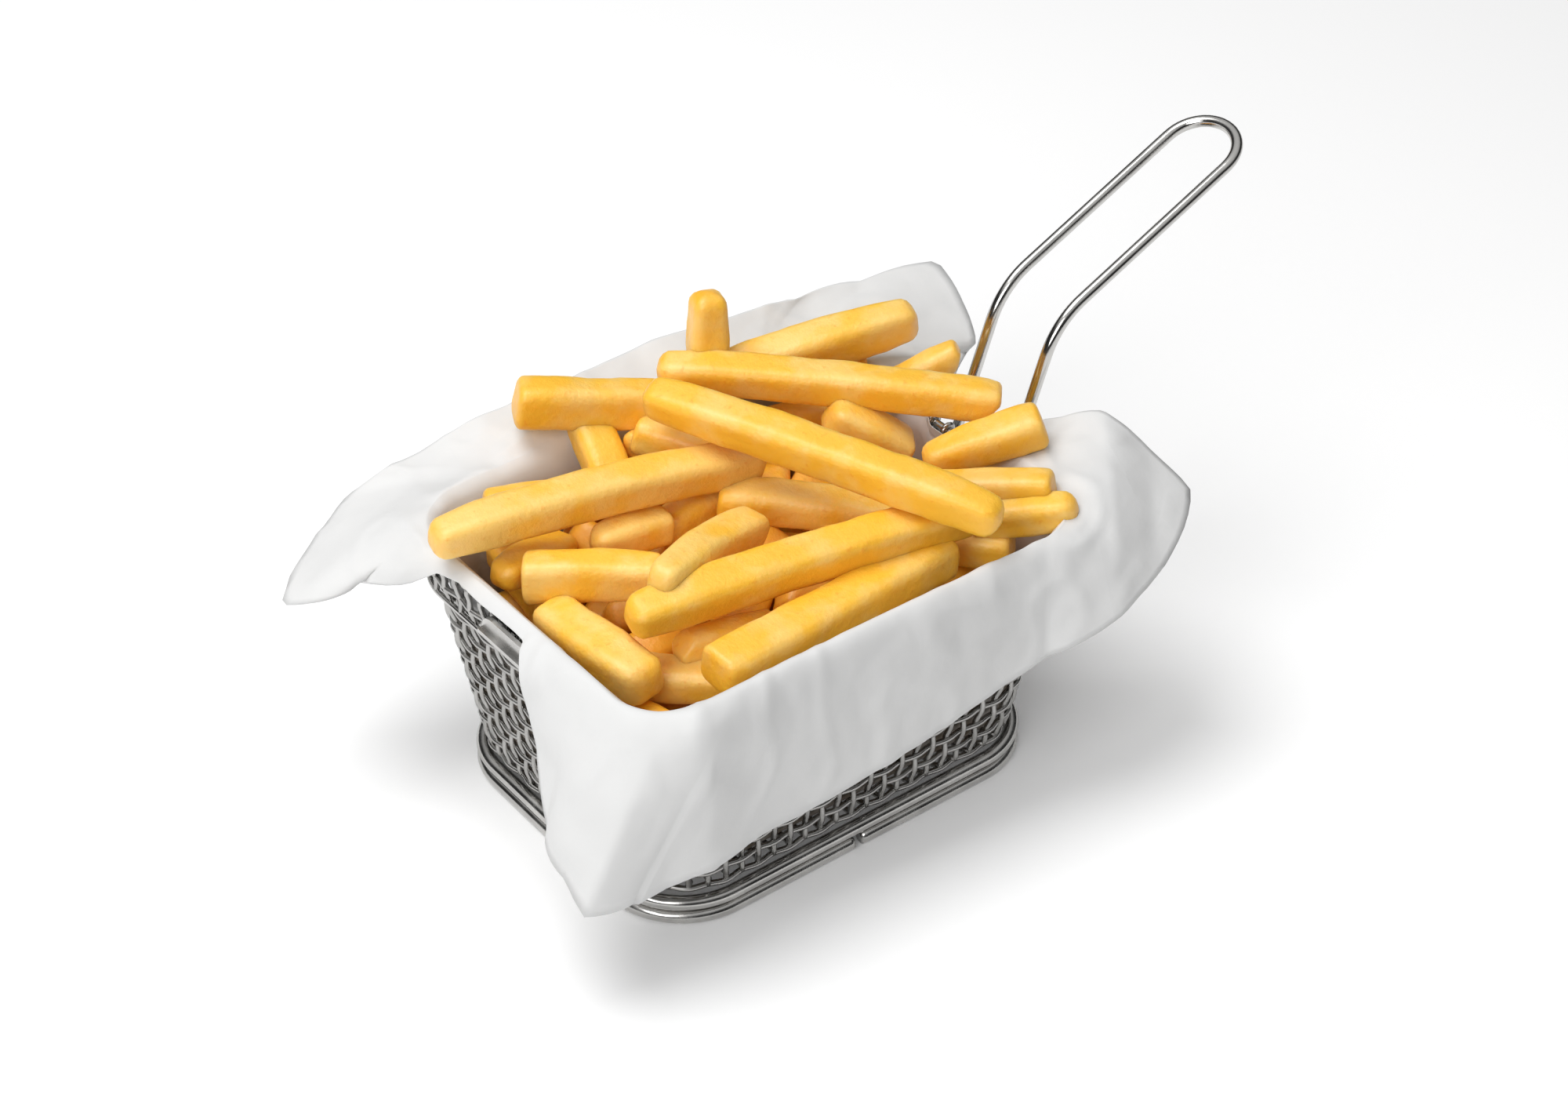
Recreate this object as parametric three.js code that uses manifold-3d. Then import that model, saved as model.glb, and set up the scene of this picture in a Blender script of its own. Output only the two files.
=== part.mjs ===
// A small wire serving basket with a U-shaped handle, a sheet of greaseproof paper laid in it,
// and a heap of french fries. Millimetres, +Z up, the handle points to +X.
import * as THREE from 'three';
import { ParametricGeometry } from 'three/addons/geometries/ParametricGeometry.js';
import { mergeVertices } from 'three/addons/utils/BufferGeometryUtils.js';
import Module from 'manifold-3d';

// ---- driving dimensions ---------------------------------------------------------------------
const WIRE_BASE = 3.4;          // the two base wires
const WIRE_RIM = 2.2;           // wire that the mesh is folded over
const WIRE_HEM = 1.3;           // wire along the lower edge of the folded hem
const WIRE_HANDLE = 2.8;
const GAP = 0.3;                // between pieces that touch

const BASE_HALF_X = 53.8;       // centre line of the base wires
const BASE_HALF_Y = 41.7;
const BASE_RADIUS = 18.4;
const BASE_GAP = 1.8;           // butt joint of the lower base wire, middle of the front side
const LOWER_Z = WIRE_BASE / 2;
const UPPER_Z = LOWER_Z + WIRE_BASE + GAP + 0.1;

const WALL_HALF_X = 53.0;       // outer face of the mesh at WALL_Z0, growing by LEAN for each mm
const WALL_HALF_Y = 40.85;
const WALL_Z0 = 4.8;
const LEAN = 0.128;
const MESH_THICK = 1.8;
const FLOOR_Z = UPPER_Z + WIRE_BASE / 2 + GAP;    // underside of the mesh floor
const RIM_Z = 61.8;             // centre of the rim wire
const HEM_Z = 53.3;             // centre of the hem wire
const MESH_TOP = RIM_Z - WIRE_RIM / 2 - GAP;
const HEM_FOLD = 0.8;           // the second layer of mesh in the hem

const HOOK_BASE = 22;           // flat hanging bar on the end away from the handle: lower edge
const HOOK_TOP = 11;            // its upper edge, shorter, with round shoulders
const HOOK_HIGH = 5.6;
const HOOK_Z = 60.2;            // middle of its height
const HOOK_SHEET = 1.0;
const HOOK_LIP = 1.1;           // how far its lower edge is turned outwards

const LEG_SPACING = 18.8;       // handle
const LEG_FOOT_Z = 9.2;
const LEG_KINK = [57.6, 25];    // x, z where a leg leaves the wall
const BEND = [80.4, 89.1];      // x, z where a leg turns into the grip
const GRIP_END = [130.0, 111.7];
const BEND_RADIUS = 19;

const PAPER_THICK = 0.6;
const PAPER_INSET = MESH_THICK + 0.7 + PAPER_THICK / 2;   // wall of the paper from the mesh's face
const PAPER_FLOOR = FLOOR_Z + MESH_THICK + 0.4 + PAPER_THICK / 2;
const RIM_TOP = RIM_Z + WIRE_RIM / 2;

const FRY = 9.4;                // side of the square cut
const FRY_CHAMFER = 1.7;
const HEAP_CLEAR = 0.35;        // between the paper and the fries
const HEAP_INSET = PAPER_INSET + PAPER_THICK / 2 + HEAP_CLEAR + 0.25;

// The paper along the rim. Each row: where on the rim (0 is the middle of the end away from the
// handle, going by the front side), how far its fold stands above the rim, and where its hem is from
// the fold: outwards, along the rim and upwards.
const PAPER = [
  [0.004, 3.2, 2.6, 0.0, -2.2], [0.013, 3.2, 2.8, 0.0, -2.2], [0.019, 3.2, 5.2, -0.5, -2.8],
  [0.024, 3.2, 6.4, -1.0, -7.0],
  [0.040, 3.4, 7.5, -1.5, -21.0], [0.068, 3.6, 12.0, -1.0, -34.0], [0.093, 3.2, 17.5, -4.0, -35.5],
  [0.114, 3.2, 18.5, -16.0, -39.5], [0.139, 3.6, 3.0, -22.0, -43.0], [0.187, 4.0, 3.5, -21.0, -41.0],
  [0.237, 4.0, 5.5, -12.0, -37.5], [0.285, 4.0, 6.5, -8.0, -33.0], [0.321, 4.0, 7.5, -10.0, -30.0],
  [0.356, 4.0, 9.5, -4.0, -24.0], [0.388, 4.6, 16.0, -5.0, -18.0], [0.409, 5.6, 32.5, -1.0, -8.5],
  [0.424, 5.6, 25.5, 0.0, 0.0], [0.439, 5.6, 22.5, 1.0, 1.5], [0.453, 4.4, 14.0, 2.0, 2.5],
  [0.468, 3.0, 5.5, 0.0, 1.5], [0.477, 2.8, 2.0, 0.0, 1.0], [0.482, 2.4, 0.2, 0.0, 1.0],
  [0.492, -2.4, 0.0, 0.0, 2.0], [0.514, -2.4, 0.0, 0.0, 2.0], [0.523, 2.4, 0.2, 0.0, 1.0],
  [0.528, 2.8, 2.5, 0.0, 0.8], [0.535, 3.0, 6.0, 0.0, -0.5], [0.546, 3.2, 13.5, -1.0, -4.5],
  [0.573, 3.6, 27.5, -2.0, -6.5], [0.606, 4.6, 37.0, -18.0, 2.5], [0.620, 4.6, 20.5, -16.0, 2.5],
  [0.639, 4.6, 10.0, -11.5, 4.0], [0.704, 4.6, 14.5, 0.0, 4.5], [0.780, 4.6, 14.5, 9.0, 3.0],
  [0.846, 4.0, 19.5, 14.0, -3.5], [0.868, 3.6, 23.0, 17.0, -10.5], [0.885, 3.2, 28.5, 21.5, -16.0],
  [0.913, 2.8, 15.5, -8.0, -12.0], [0.922, 3.0, 7.0, -2.0, -8.0], [0.932, 3.0, 3.6, 0.0, -3.4],
  [0.950, 3.0, 2.6, 0.0, -2.2], [0.976, 3.2, 2.6, 0.0, -2.2],
];

// The fries that show, from the top of the heap down. Each row: centre, heading and tilt in degrees,
// length, and how far the middle bows up.
const FRIES = [
  [14, -8, 80, -63, -5, 85, 1.0],     // the long one across the top
  [-9, 43, 76, -25, -9, 38, 0],       // points to the back left, end cut flat
  [36, 17, 76, -43, -3, 78, 0.8],     // runs to the handle
  [46, 32, 75, -20, 9, 46, 0.6],      // behind it, rising
  [23, 46, 75, 44, 83, 29, 0],        // stands upright at the back
  [49, 41, 63, -37, 4, 30, 0],
  [62, 16, 70, -34, 28, 21, 0],       // pointed end by the handle
  [54, -16, 71, -28, 16, 28, 0],      // short one towards the handle
  [46, -26, 67, -50, 10, 31, 0],
  [49, -36, 65, -49, 16, 24, 0],
  [-26, 18, 71, -10, -3, 79, 2.2],    // long one over the left end
  [16, -2, 61, -41, -7, 41, 1.4],
  [-38, 4, 64, -37, 0, 30, 0],
  [-19, -11, 70, 20, -11, 37, 0.5],
  [-3, -24, 68, -10, 0, 82, 1.0],     // long one near the front
  [-2, -33, 61, 4, -1, 66, 0],        // along the front side
  [-46, -10, 57, -84, 0, 33, 0],      // along the left end
  [39, 7, 67, -34, -35, 21, 0],
  [-22, -22, 56, -11, -5, 23, 0],
  [-33, -23, 51, -45, 0, 26, 0],
  [-42, 22, 59, 17, -13, 23, 0],
  [-30, 32, 64, -22, -4, 30, 0],
  [-12, 38, 64, -103, -29, 25, 0],
  [-22, 13, 63, -5, -6, 19, 0],
  [-4, 15, 59, 5, 6, 19, 0],
  [31, 24, 64, -2, -8, 28, 0],
  [34, -18, 55, -53, 3, 43, 0],
  [4, 24, 68, -54, -10, 29, 0],
  [3, 40, 65, 32, -7, 18, 0],
];

// ---- helpers --------------------------------------------------------------------------------
const wasm = await Module();
wasm.setup();

/** Keeps only position, joins shared vertices and drops triangles without area. */
function weld(geometry) {
  const g = geometry.clone();
  for (const name of ['normal', 'uv']) g.deleteAttribute(name);
  const merged = mergeVertices(g, 1e-4);
  const index = Array.from(merged.index.array);
  const kept = [];
  for (let i = 0; i < index.length; i += 3) {
    const [a, b, c] = index.slice(i, i + 3);
    if (a !== b && b !== c && c !== a) kept.push(a, b, c);
  }
  merged.setIndex(kept);
  return merged;
}

function toSolid(geometry) {
  const g = weld(geometry);
  return new wasm.Manifold(new wasm.Mesh({
    numProp: 3,
    vertProperties: new Float32Array(g.attributes.position.array),
    triVerts: new Uint32Array(g.index.array),
  }));
}

function toGeometry(solid) {
  const mesh = solid.getMesh();
  const g = new THREE.BufferGeometry();
  g.setAttribute('position', new THREE.BufferAttribute(new Float32Array(mesh.vertProperties), 3));
  g.setIndex(Array.from(mesh.triVerts));
  return g;
}

/** Turns the faces over if the closed mesh is inside out. */
function facingOut(geometry) {
  const g = weld(geometry);
  const p = g.attributes.position;
  const index = g.index.array;
  const [a, b, c] = [0, 1, 2].map(() => new THREE.Vector3());
  let volume = 0;
  for (let i = 0; i < index.length; i += 3) {
    a.fromBufferAttribute(p, index[i]);
    b.fromBufferAttribute(p, index[i + 1]);
    c.fromBufferAttribute(p, index[i + 2]);
    volume += a.dot(b.cross(c));
  }
  if (volume < 0) {
    const turned = [];
    for (let i = 0; i < index.length; i += 3) turned.push(index[i], index[i + 2], index[i + 1]);
    g.setIndex(turned);
  }
  return g;
}

/** Point on a rounded rectangle, at a share of its length from the middle of its -X side. */
function onOutline(share, halfX, halfY, radius) {
  const [sx, sy] = [halfX - radius, halfY - radius];
  const quarter = (Math.PI / 2) * radius;
  const legs = [sy, quarter, 2 * sx, quarter, 2 * sy, quarter, 2 * sx, quarter, sy];
  const total = legs.reduce((sum, leg) => sum + leg, 0);
  let s = ((share % 1) + 1) % 1 * total;
  let k = 0;
  while (k < 8 && s > legs[k]) s -= legs[k++];
  const turn = (cx, cy, start) => {
    const angle = start + s / radius;
    return [cx + radius * Math.cos(angle), cy + radius * Math.sin(angle)];
  };
  if (k === 0) return [-halfX, -s];
  if (k === 1) return turn(-sx, -sy, Math.PI);
  if (k === 2) return [-sx + s, -halfY];
  if (k === 3) return turn(sx, -sy, 1.5 * Math.PI);
  if (k === 4) return [halfX, -sy + s];
  if (k === 5) return turn(sx, sy, 0);
  if (k === 6) return [sx - s, halfY];
  if (k === 7) return turn(-sx, sy, Math.PI / 2);
  return [-halfX, sy - s];
}

/** Point on the basket's tapered wall, moved inwards from the mesh's outer face. */
function onWall(share, z, inset) {
  const grow = LEAN * (z - WALL_Z0) - inset;
  const radius = Math.max(BASE_RADIUS - 0.04 * (z - WALL_Z0) - inset, 4);
  return onOutline(share, WALL_HALF_X + grow, WALL_HALF_Y + grow, radius);
}

/** Solid of rings from one pole to the other: ring(row, share) gives a point on each row. */
function fromRings(rows, shares, ring) {
  const points = [];
  for (let row = 0; row <= rows; row++) {
    points.push(shares.map((share) => ring(row, share)));
  }
  const columns = shares.length;
  const pick = (u, v, target) => {
    const column = Math.round(u * columns) % columns;
    target.copy(points[Math.round(v * rows)][column]);
  };
  return facingOut(new ParametricGeometry(pick, columns, rows));
}

/** Shares of the outline that are close together in its corners and apart on its straight sides. */
function cornerShares(perCorner, perSide) {
  const radius = BASE_RADIUS - 1.5;
  const legs = [2 * (WALL_HALF_Y + 4 - radius), (Math.PI / 2) * radius, 2 * (WALL_HALF_X + 4 - radius)];
  legs.push(legs[1], legs[0], legs[1], legs[2], legs[1]);
  const total = legs.reduce((sum, leg) => sum + leg, 0);
  const shares = [];
  let s = -legs[0] / 2;
  legs.forEach((leg, k) => {
    const parts = k % 2 ? perCorner : perSide;
    for (let i = 0; i < parts; i++) shares.push((((s + leg * i / parts) / total) + 1) % 1);
    s += leg;
  });
  return shares.sort((a, b) => a - b);
}

/** Closed ring of wire: a rounded rectangle with an eight-sided section, flat above and below. */
function wireRing(halfX, halfY, radius, wire, z) {
  const half = wire / 2;
  const flat = half * Math.tan(Math.PI / 8);
  const outline = (inset, Kind) => {
    const path = new Kind();
    const count = 4 * 7;
    const corners = [[1, 1, 0], [-1, 1, 1], [-1, -1, 2], [1, -1, 3]];
    const r = radius - inset;
    for (const [sx, sy, quarter] of corners) {
      for (let i = 0; i <= count / 4; i++) {
        const angle = (quarter + i / (count / 4)) * Math.PI / 2;
        const x = sx * (halfX - radius) + r * Math.cos(angle);
        const y = sy * (halfY - radius) + r * Math.sin(angle);
        if (i === 0 && quarter === 0) path.moveTo(x, y);
        else path.lineTo(x, y);
      }
    }
    path.closePath();
    return path;
  };
  const bevel = half - flat;
  const shape = outline(-(half - bevel), THREE.Shape);
  shape.holes.push(outline(half - bevel, THREE.Path));
  const g = new THREE.ExtrudeGeometry(shape, {
    depth: 2 * flat, bevelEnabled: true, bevelThickness: bevel, bevelSize: bevel, bevelSegments: 1,
    curveSegments: 1, steps: 1,
  });
  g.translate(0, 0, z - flat);
  return g;
}

/** A path of straight runs whose corners are rounded to the given radii. */
function roundedPath(points, radii) {
  const path = new THREE.CurvePath();
  let from = points[0];
  for (let i = 1; i < points.length - 1; i++) {
    const into = points[i].clone().sub(points[i - 1]).normalize();
    const out = points[i + 1].clone().sub(points[i]).normalize();
    const half = Math.acos(THREE.MathUtils.clamp(into.dot(out), -1, 1)) / 2;
    const reach = radii[i - 1] * Math.tan(half);
    const a = points[i].clone().addScaledVector(into, -reach);
    const b = points[i].clone().addScaledVector(out, reach);
    path.add(new THREE.LineCurve3(from, a));
    const arm = (4 / 3) * Math.tan(half / 2) * radii[i - 1];
    path.add(new THREE.CubicBezierCurve3(
      a, a.clone().addScaledVector(into, arm), b.clone().addScaledVector(out, -arm), b));
    from = b;
  }
  path.add(new THREE.LineCurve3(from, points[points.length - 1]));
  return path;
}

function regular(sides, radius) {
  const shape = new THREE.Shape();
  for (let i = 0; i < sides; i++) {
    const angle = (i + 0.5) * 2 * Math.PI / sides;
    const [x, y] = [radius * Math.cos(angle), radius * Math.sin(angle)];
    if (i === 0) shape.moveTo(x, y);
    else shape.lineTo(x, y);
  }
  shape.closePath();
  return shape;
}

// ---- metal ----------------------------------------------------------------------------------
const steel = (name) => new THREE.MeshStandardMaterial({
  name, color: 0xb9b6b0, roughness: 0.22, metalness: 1.0,
});

function upperBase() {
  return facingOut(wireRing(BASE_HALF_X, BASE_HALF_Y, BASE_RADIUS, WIRE_BASE, UPPER_Z));
}

function lowerBase() {
  const ring = toSolid(wireRing(BASE_HALF_X, BASE_HALF_Y, BASE_RADIUS, WIRE_BASE, LOWER_Z));
  const cut = new THREE.BoxGeometry(BASE_GAP, 3 * WIRE_BASE, 3 * WIRE_BASE);
  cut.translate(2, -BASE_HALF_Y, LOWER_Z);
  return toGeometry(ring.subtract(toSolid(cut)));
}

function rimWire() {
  const grow = LEAN * (RIM_Z - WALL_Z0) - MESH_THICK / 2;
  return facingOut(wireRing(WALL_HALF_X + grow, WALL_HALF_Y + grow, 15.2, WIRE_RIM, RIM_Z));
}

function hemWire() {
  const grow = LEAN * (HEM_Z - WALL_Z0) + GAP + WIRE_HEM / 2;
  return facingOut(wireRing(WALL_HALF_X + grow, WALL_HALF_Y + grow, 17.4, WIRE_HEM, HEM_Z));
}

function basketMesh() {
  const hemBottom = HEM_Z + WIRE_HEM / 2 + GAP + 0.1;
  const profile = [
    [null, FLOOR_Z], [24, FLOOR_Z], [2.6, FLOOR_Z], [0.7, FLOOR_Z + 0.6], [0, FLOOR_Z + 2.2],
    [0, 30], [0, hemBottom], [-HEM_FOLD, hemBottom], [-HEM_FOLD, MESH_TOP],
    [MESH_THICK, MESH_TOP], [MESH_THICK, 30], [MESH_THICK, FLOOR_Z + MESH_THICK + 2],
    [MESH_THICK + 2.2, FLOOR_Z + MESH_THICK], [24, FLOOR_Z + MESH_THICK],
    [null, FLOOR_Z + MESH_THICK],
  ];
  return fromRings(profile.length - 1, cornerShares(7, 3), (row, share) => {
    const [inset, z] = profile[row];
    if (inset === null) return new THREE.Vector3(0, 0, z);
    return new THREE.Vector3(...onWall(share, z, inset), z);
  });
}

function hangingBar() {
  const half = HOOK_HIGH / 2;
  const [base, top] = [HOOK_BASE / 2, HOOK_TOP / 2];
  const face = new THREE.Shape();
  face.moveTo(-base, -half);
  face.lineTo(base, -half);
  face.quadraticCurveTo(base - 1.5, half, top, half);
  face.lineTo(-top, half);
  face.quadraticCurveTo(1.5 - base, half, -base, -half);
  const edge = new THREE.Shape();
  edge.moveTo(-base, -half);
  edge.lineTo(base, -half);
  edge.lineTo(base - 0.3, -half + HOOK_SHEET);
  edge.lineTo(0.3 - base, -half + HOOK_SHEET);
  const sheet = (shape, depth) => toSolid(facingOut(
    new THREE.ExtrudeGeometry(shape, { depth, bevelEnabled: false, curveSegments: 6 })));
  const g = toGeometry(sheet(face, HOOK_SHEET).add(sheet(edge, HOOK_SHEET + HOOK_LIP)));
  g.rotateX(Math.PI / 2);
  g.rotateZ(-Math.PI / 2);
  g.rotateY(-Math.atan(LEAN));
  const x0 = WALL_HALF_X + LEAN * (HOOK_Z - WALL_Z0) + HEM_FOLD + GAP + 0.25;
  g.translate(-x0, 0, HOOK_Z);
  return facingOut(g);
}

function handle() {
  const half = LEG_SPACING / 2;
  const footX = WALL_HALF_X + LEAN * (LEG_FOOT_Z - WALL_Z0) + GAP + WIRE_HANDLE / 2;
  const side = (y) => [
    new THREE.Vector3(footX, y, LEG_FOOT_Z),
    new THREE.Vector3(LEG_KINK[0], y, LEG_KINK[1]),
    new THREE.Vector3(BEND[0], y, BEND[1]),
  ];
  const rise = (GRIP_END[1] - BEND[1]) / (GRIP_END[0] - BEND[0]);
  const reach = half / Math.hypot(1, rise);
  const tip = [GRIP_END[0] + reach, GRIP_END[1] + rise * reach];
  const corner = (y) => new THREE.Vector3(tip[0], y, tip[1]);
  const path = roundedPath(
    [...side(half), corner(half), corner(-half), ...side(-half).reverse()],
    [12, BEND_RADIUS, half - 0.05, half - 0.05, BEND_RADIUS, 12]);
  path.arcLengthDivisions = 600;
  return facingOut(new THREE.ExtrudeGeometry(regular(8, WIRE_HANDLE / 2 * 1.03), {
    steps: 60, bevelEnabled: false, extrudePath: path,
  }));
}

// ---- paper ----------------------------------------------------------------------------------
/** The values of PAPER between its rows: the fold's height swells smoothly, the hem runs straight. */
function paperAt(share) {
  const s = ((share % 1) + 1) % 1;
  let i = PAPER.findIndex((row) => row[0] > s);
  if (i < 0) i = 0;
  const after = PAPER[i];
  const before = PAPER[(i + PAPER.length - 1) % PAPER.length];
  const span = ((after[0] - before[0]) + 1) % 1;
  const part = (((s - before[0]) + 1) % 1) / span;
  const soft = part * part * (3 - 2 * part);
  const mix = (k, w) => before[k] + (after[k] - before[k]) * w;
  return { fold: mix(1, soft), out: mix(2, part), along: mix(3, part), up: mix(4, part) };
}

/** Point of the middle of the paper: row 0 is the middle of the floor, the last row is the hem. */
const PAPER_ROWS = 10;
function paperPoint(row, share) {
  const wall = (z, inset = PAPER_INSET) => new THREE.Vector3(...onWall(share, z, inset), z);
  const { fold, out, along, up } = paperAt(share);
  const crestZ = RIM_TOP + fold;
  if (row === 0) return new THREE.Vector3(0, 0, PAPER_FLOOR);
  if (row === 1) return wall(PAPER_FLOOR, 22);
  if (row === 2) return wall(PAPER_FLOOR, PAPER_INSET + 3);
  if (row === 3) return wall(PAPER_FLOOR + 3, PAPER_INSET + 0.3);
  if (row === 4) return wall(34);
  if (row === 5) return wall(Math.min(59, crestZ - 3));
  const lift = THREE.MathUtils.clamp(fold / 3, 0, 1);
  const top = Math.min(RIM_TOP + 1, crestZ - 1);
  const crest = wall(crestZ, PAPER_INSET - 0.9 * lift);
  if (row === 6) return wall(top, PAPER_INSET - 0.1 * lift);
  if (row === 7) return crest;
  const ahead = wall(crestZ, PAPER_INSET);
  const tangent = new THREE.Vector3(...onWall(share + 0.002, crestZ, PAPER_INSET), crestZ)
    .sub(ahead).normalize();
  const outward = new THREE.Vector3(tangent.y, -tangent.x, 0);
  const hem = crest.clone().addScaledVector(outward, out).addScaledVector(tangent, along);
  hem.z += up;
  const reach = Math.hypot(out, along, up);
  const shoulder = crest.clone().addScaledVector(outward, Math.min(6.5 * lift, 0.4 * reach));
  shoulder.z += lift > 0 ? Math.max(up * 0.06, -1) : up * 0.5;
  if (lift === 0) shoulder.lerpVectors(crest, hem, 0.5);
  const t = (row - 7) / (PAPER_ROWS - 7);
  return new THREE.QuadraticBezierCurve3(crest, shoulder, hem).getPoint(t);
}

function paperColumns() {
  const columns = [];
  PAPER.forEach((row, i) => {
    const next = PAPER[(i + 1) % PAPER.length][0] + (i + 1 === PAPER.length ? 1 : 0);
    const parts = Math.max(1, Math.round((next - row[0]) / 0.018));
    for (let k = 0; k < parts; k++) columns.push(row[0] + (next - row[0]) * k / parts);
  });
  return columns;
}

/** Two skins either side of the paper's middle, joined along the hem. */
function liner(thick = PAPER_THICK) {
  const columns = paperColumns();
  const count = columns.length;
  const middle = [];
  for (let row = 0; row <= PAPER_ROWS; row++) {
    middle.push(columns.map((share) => paperPoint(row, share)));
  }
  const normal = (row, column) => {
    if (row === 0) return new THREE.Vector3(0, 0, 1);
    const next = middle[row][(column + 1) % count];
    const last = middle[row][(column + count - 1) % count];
    const out = middle[Math.min(row + 1, PAPER_ROWS)][column];
    const inn = middle[row - 1][column];
    return out.clone().sub(inn).cross(next.clone().sub(last)).normalize();
  };
  const skin = (row, column, side) =>
    middle[row][column].clone().addScaledVector(normal(row, column), side * thick / 2);
  const rows = 2 * PAPER_ROWS + 1;
  return fromRings(rows, columns.map((_, i) => i), (row, column) => (
    row <= PAPER_ROWS ? skin(row, column, 1) : skin(rows - row, column, -1)));
}

// ---- fries ----------------------------------------------------------------------------------
function fry([x, y, z, heading, tilt, length, bow]) {
  const half = FRY / 2;
  const cut = half - FRY_CHAMFER;
  const shape = new THREE.Shape();
  const corners = [
    [half, cut], [cut, half], [-cut, half], [-half, cut],
    [-half, -cut], [-cut, -half], [cut, -half], [half, -cut],
  ];
  corners.forEach(([a, b], i) => (i === 0 ? shape.moveTo(a, b) : shape.lineTo(a, b)));
  shape.closePath();
  const path = new THREE.QuadraticBezierCurve3(
    new THREE.Vector3(-length / 2, 0, 0),
    new THREE.Vector3(0, 0, 2 * bow),
    new THREE.Vector3(length / 2, 0, 0));
  const g = new THREE.ExtrudeGeometry(shape, {
    steps: bow > 0 ? 4 : 1, bevelEnabled: false, extrudePath: path,
  });
  g.rotateY(-THREE.MathUtils.degToRad(tilt));
  g.rotateZ(THREE.MathUtils.degToRad(heading));
  g.translate(x, y, z);
  return g;
}

/** What fills the paper below the fries that show: level at the wall, higher in the middle. */
function mound() {
  const floor = PAPER_FLOOR + PAPER_THICK / 2 + 0.4;
  const profile = [
    [null, floor], [24, floor], [HEAP_INSET + 3.4, floor], [HEAP_INSET + 0.4, floor + 3.2],
    [HEAP_INSET, 30], [HEAP_INSET, 50], [HEAP_INSET + 3, 55], [16, 61], [30, 66], [null, 68],
  ];
  return fromRings(profile.length - 1, cornerShares(5, 3), (row, share) => {
    const [inset, z] = profile[row];
    if (inset === null) return new THREE.Vector3(0, 0, z);
    const uneven = row > 5 ? 1.6 * Math.sin(9 * share * 2 * Math.PI + row * 2.1) : 0;
    return new THREE.Vector3(...onWall(share, z, inset), z + uneven);
  });
}

/** The mound and the fries on it, cut clear of the paper. */
function heap() {
  let solid = toSolid(mound());
  for (const row of FRIES) solid = solid.add(toSolid(facingOut(fry(row))));
  const trimmed = solid.subtract(toSolid(liner(PAPER_THICK + 2 * HEAP_CLEAR)));
  const pieces = trimmed.decompose();
  pieces.sort((a, b) => b.volume() - a.volume());
  return toGeometry(pieces[0]);
}

// ---- the whole ------------------------------------------------------------------------------
const white = new THREE.MeshStandardMaterial({ name: 'paper', color: 0xf1f0ee, roughness: 0.8 });
const golden = new THREE.MeshStandardMaterial({ name: 'fried_potato', color: 0xf0b444, roughness: 0.55 });

const group = new THREE.Group();
const add = (name, geometry, material) => {
  const mesh = new THREE.Mesh(geometry, material);
  mesh.name = name;
  group.add(mesh);
};
add('base_wire_lower', lowerBase(), steel('base_wire'));
add('base_wire_upper', upperBase(), steel('base_wire'));
add('basket_mesh', basketMesh(), steel('woven_mesh'));
add('hem_wire', hemWire(), steel('rim_wire'));
add('rim_wire', rimWire(), steel('rim_wire'));
add('hanging_bar', hangingBar(), steel('bar_sheet'));
add('handle', handle(), steel('handle_wire'));
add('paper_liner', liner(), white);
add('fries_heap', heap(), golden);

// The origin is under the middle of the whole outline, on the surface that the basket stands on.
const box = new THREE.Box3().setFromObject(group);
const centre = box.getCenter(new THREE.Vector3());
group.position.set(-centre.x, -centre.y, -box.min.z);

export default group;
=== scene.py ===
"""French fries heaped in a small wire serving basket that is lined with greaseproof paper.

Run as a script, it builds every piece around the packed frame, in metres: the two base wires, the
woven basket with its rim and hem wires, the hanging bar, the handle, the paper, the heap's core and
the fries on it, and a pale stage with soft light. The handle points to +X, the long front flap of
paper hangs on the -Y side.
"""

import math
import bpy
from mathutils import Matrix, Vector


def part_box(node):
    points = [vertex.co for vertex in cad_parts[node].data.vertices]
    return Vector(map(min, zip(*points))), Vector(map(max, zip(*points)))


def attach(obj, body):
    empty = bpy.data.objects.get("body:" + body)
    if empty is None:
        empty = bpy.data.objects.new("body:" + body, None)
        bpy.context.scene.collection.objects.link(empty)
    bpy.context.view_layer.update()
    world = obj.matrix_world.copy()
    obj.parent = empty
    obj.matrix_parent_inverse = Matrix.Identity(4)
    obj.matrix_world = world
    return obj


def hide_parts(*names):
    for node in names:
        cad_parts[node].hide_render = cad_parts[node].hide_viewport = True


bl_info = {
    "name": "Fries in a Wire Basket",
    "version": (1, 0, 0),
    "blender": (4, 5, 0),
    "location": "View3D > Sidebar > Fries",
    "description": "Builds a portion of french fries in a small wire serving basket",
    "category": "Add Mesh",
}

import bpy
import numpy as np
from bpy.props import FloatProperty, FloatVectorProperty, IntProperty, PointerProperty
from mathutils import Vector, noise

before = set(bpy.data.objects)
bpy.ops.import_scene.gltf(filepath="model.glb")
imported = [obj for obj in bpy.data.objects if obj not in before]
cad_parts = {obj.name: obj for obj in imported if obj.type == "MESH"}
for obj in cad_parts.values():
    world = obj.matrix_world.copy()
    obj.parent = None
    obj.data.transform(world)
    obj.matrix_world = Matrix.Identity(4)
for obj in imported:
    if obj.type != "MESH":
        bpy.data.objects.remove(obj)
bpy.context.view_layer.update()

MM = 0.001

# ---- what the frame says -----------------------------------------------------------------------


def node_size(node):
    """How long a node is along X, Y and Z."""
    low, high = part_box(node)
    return high - low


def node_middle(node):
    low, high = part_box(node)
    return (low + high) / 2


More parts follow.
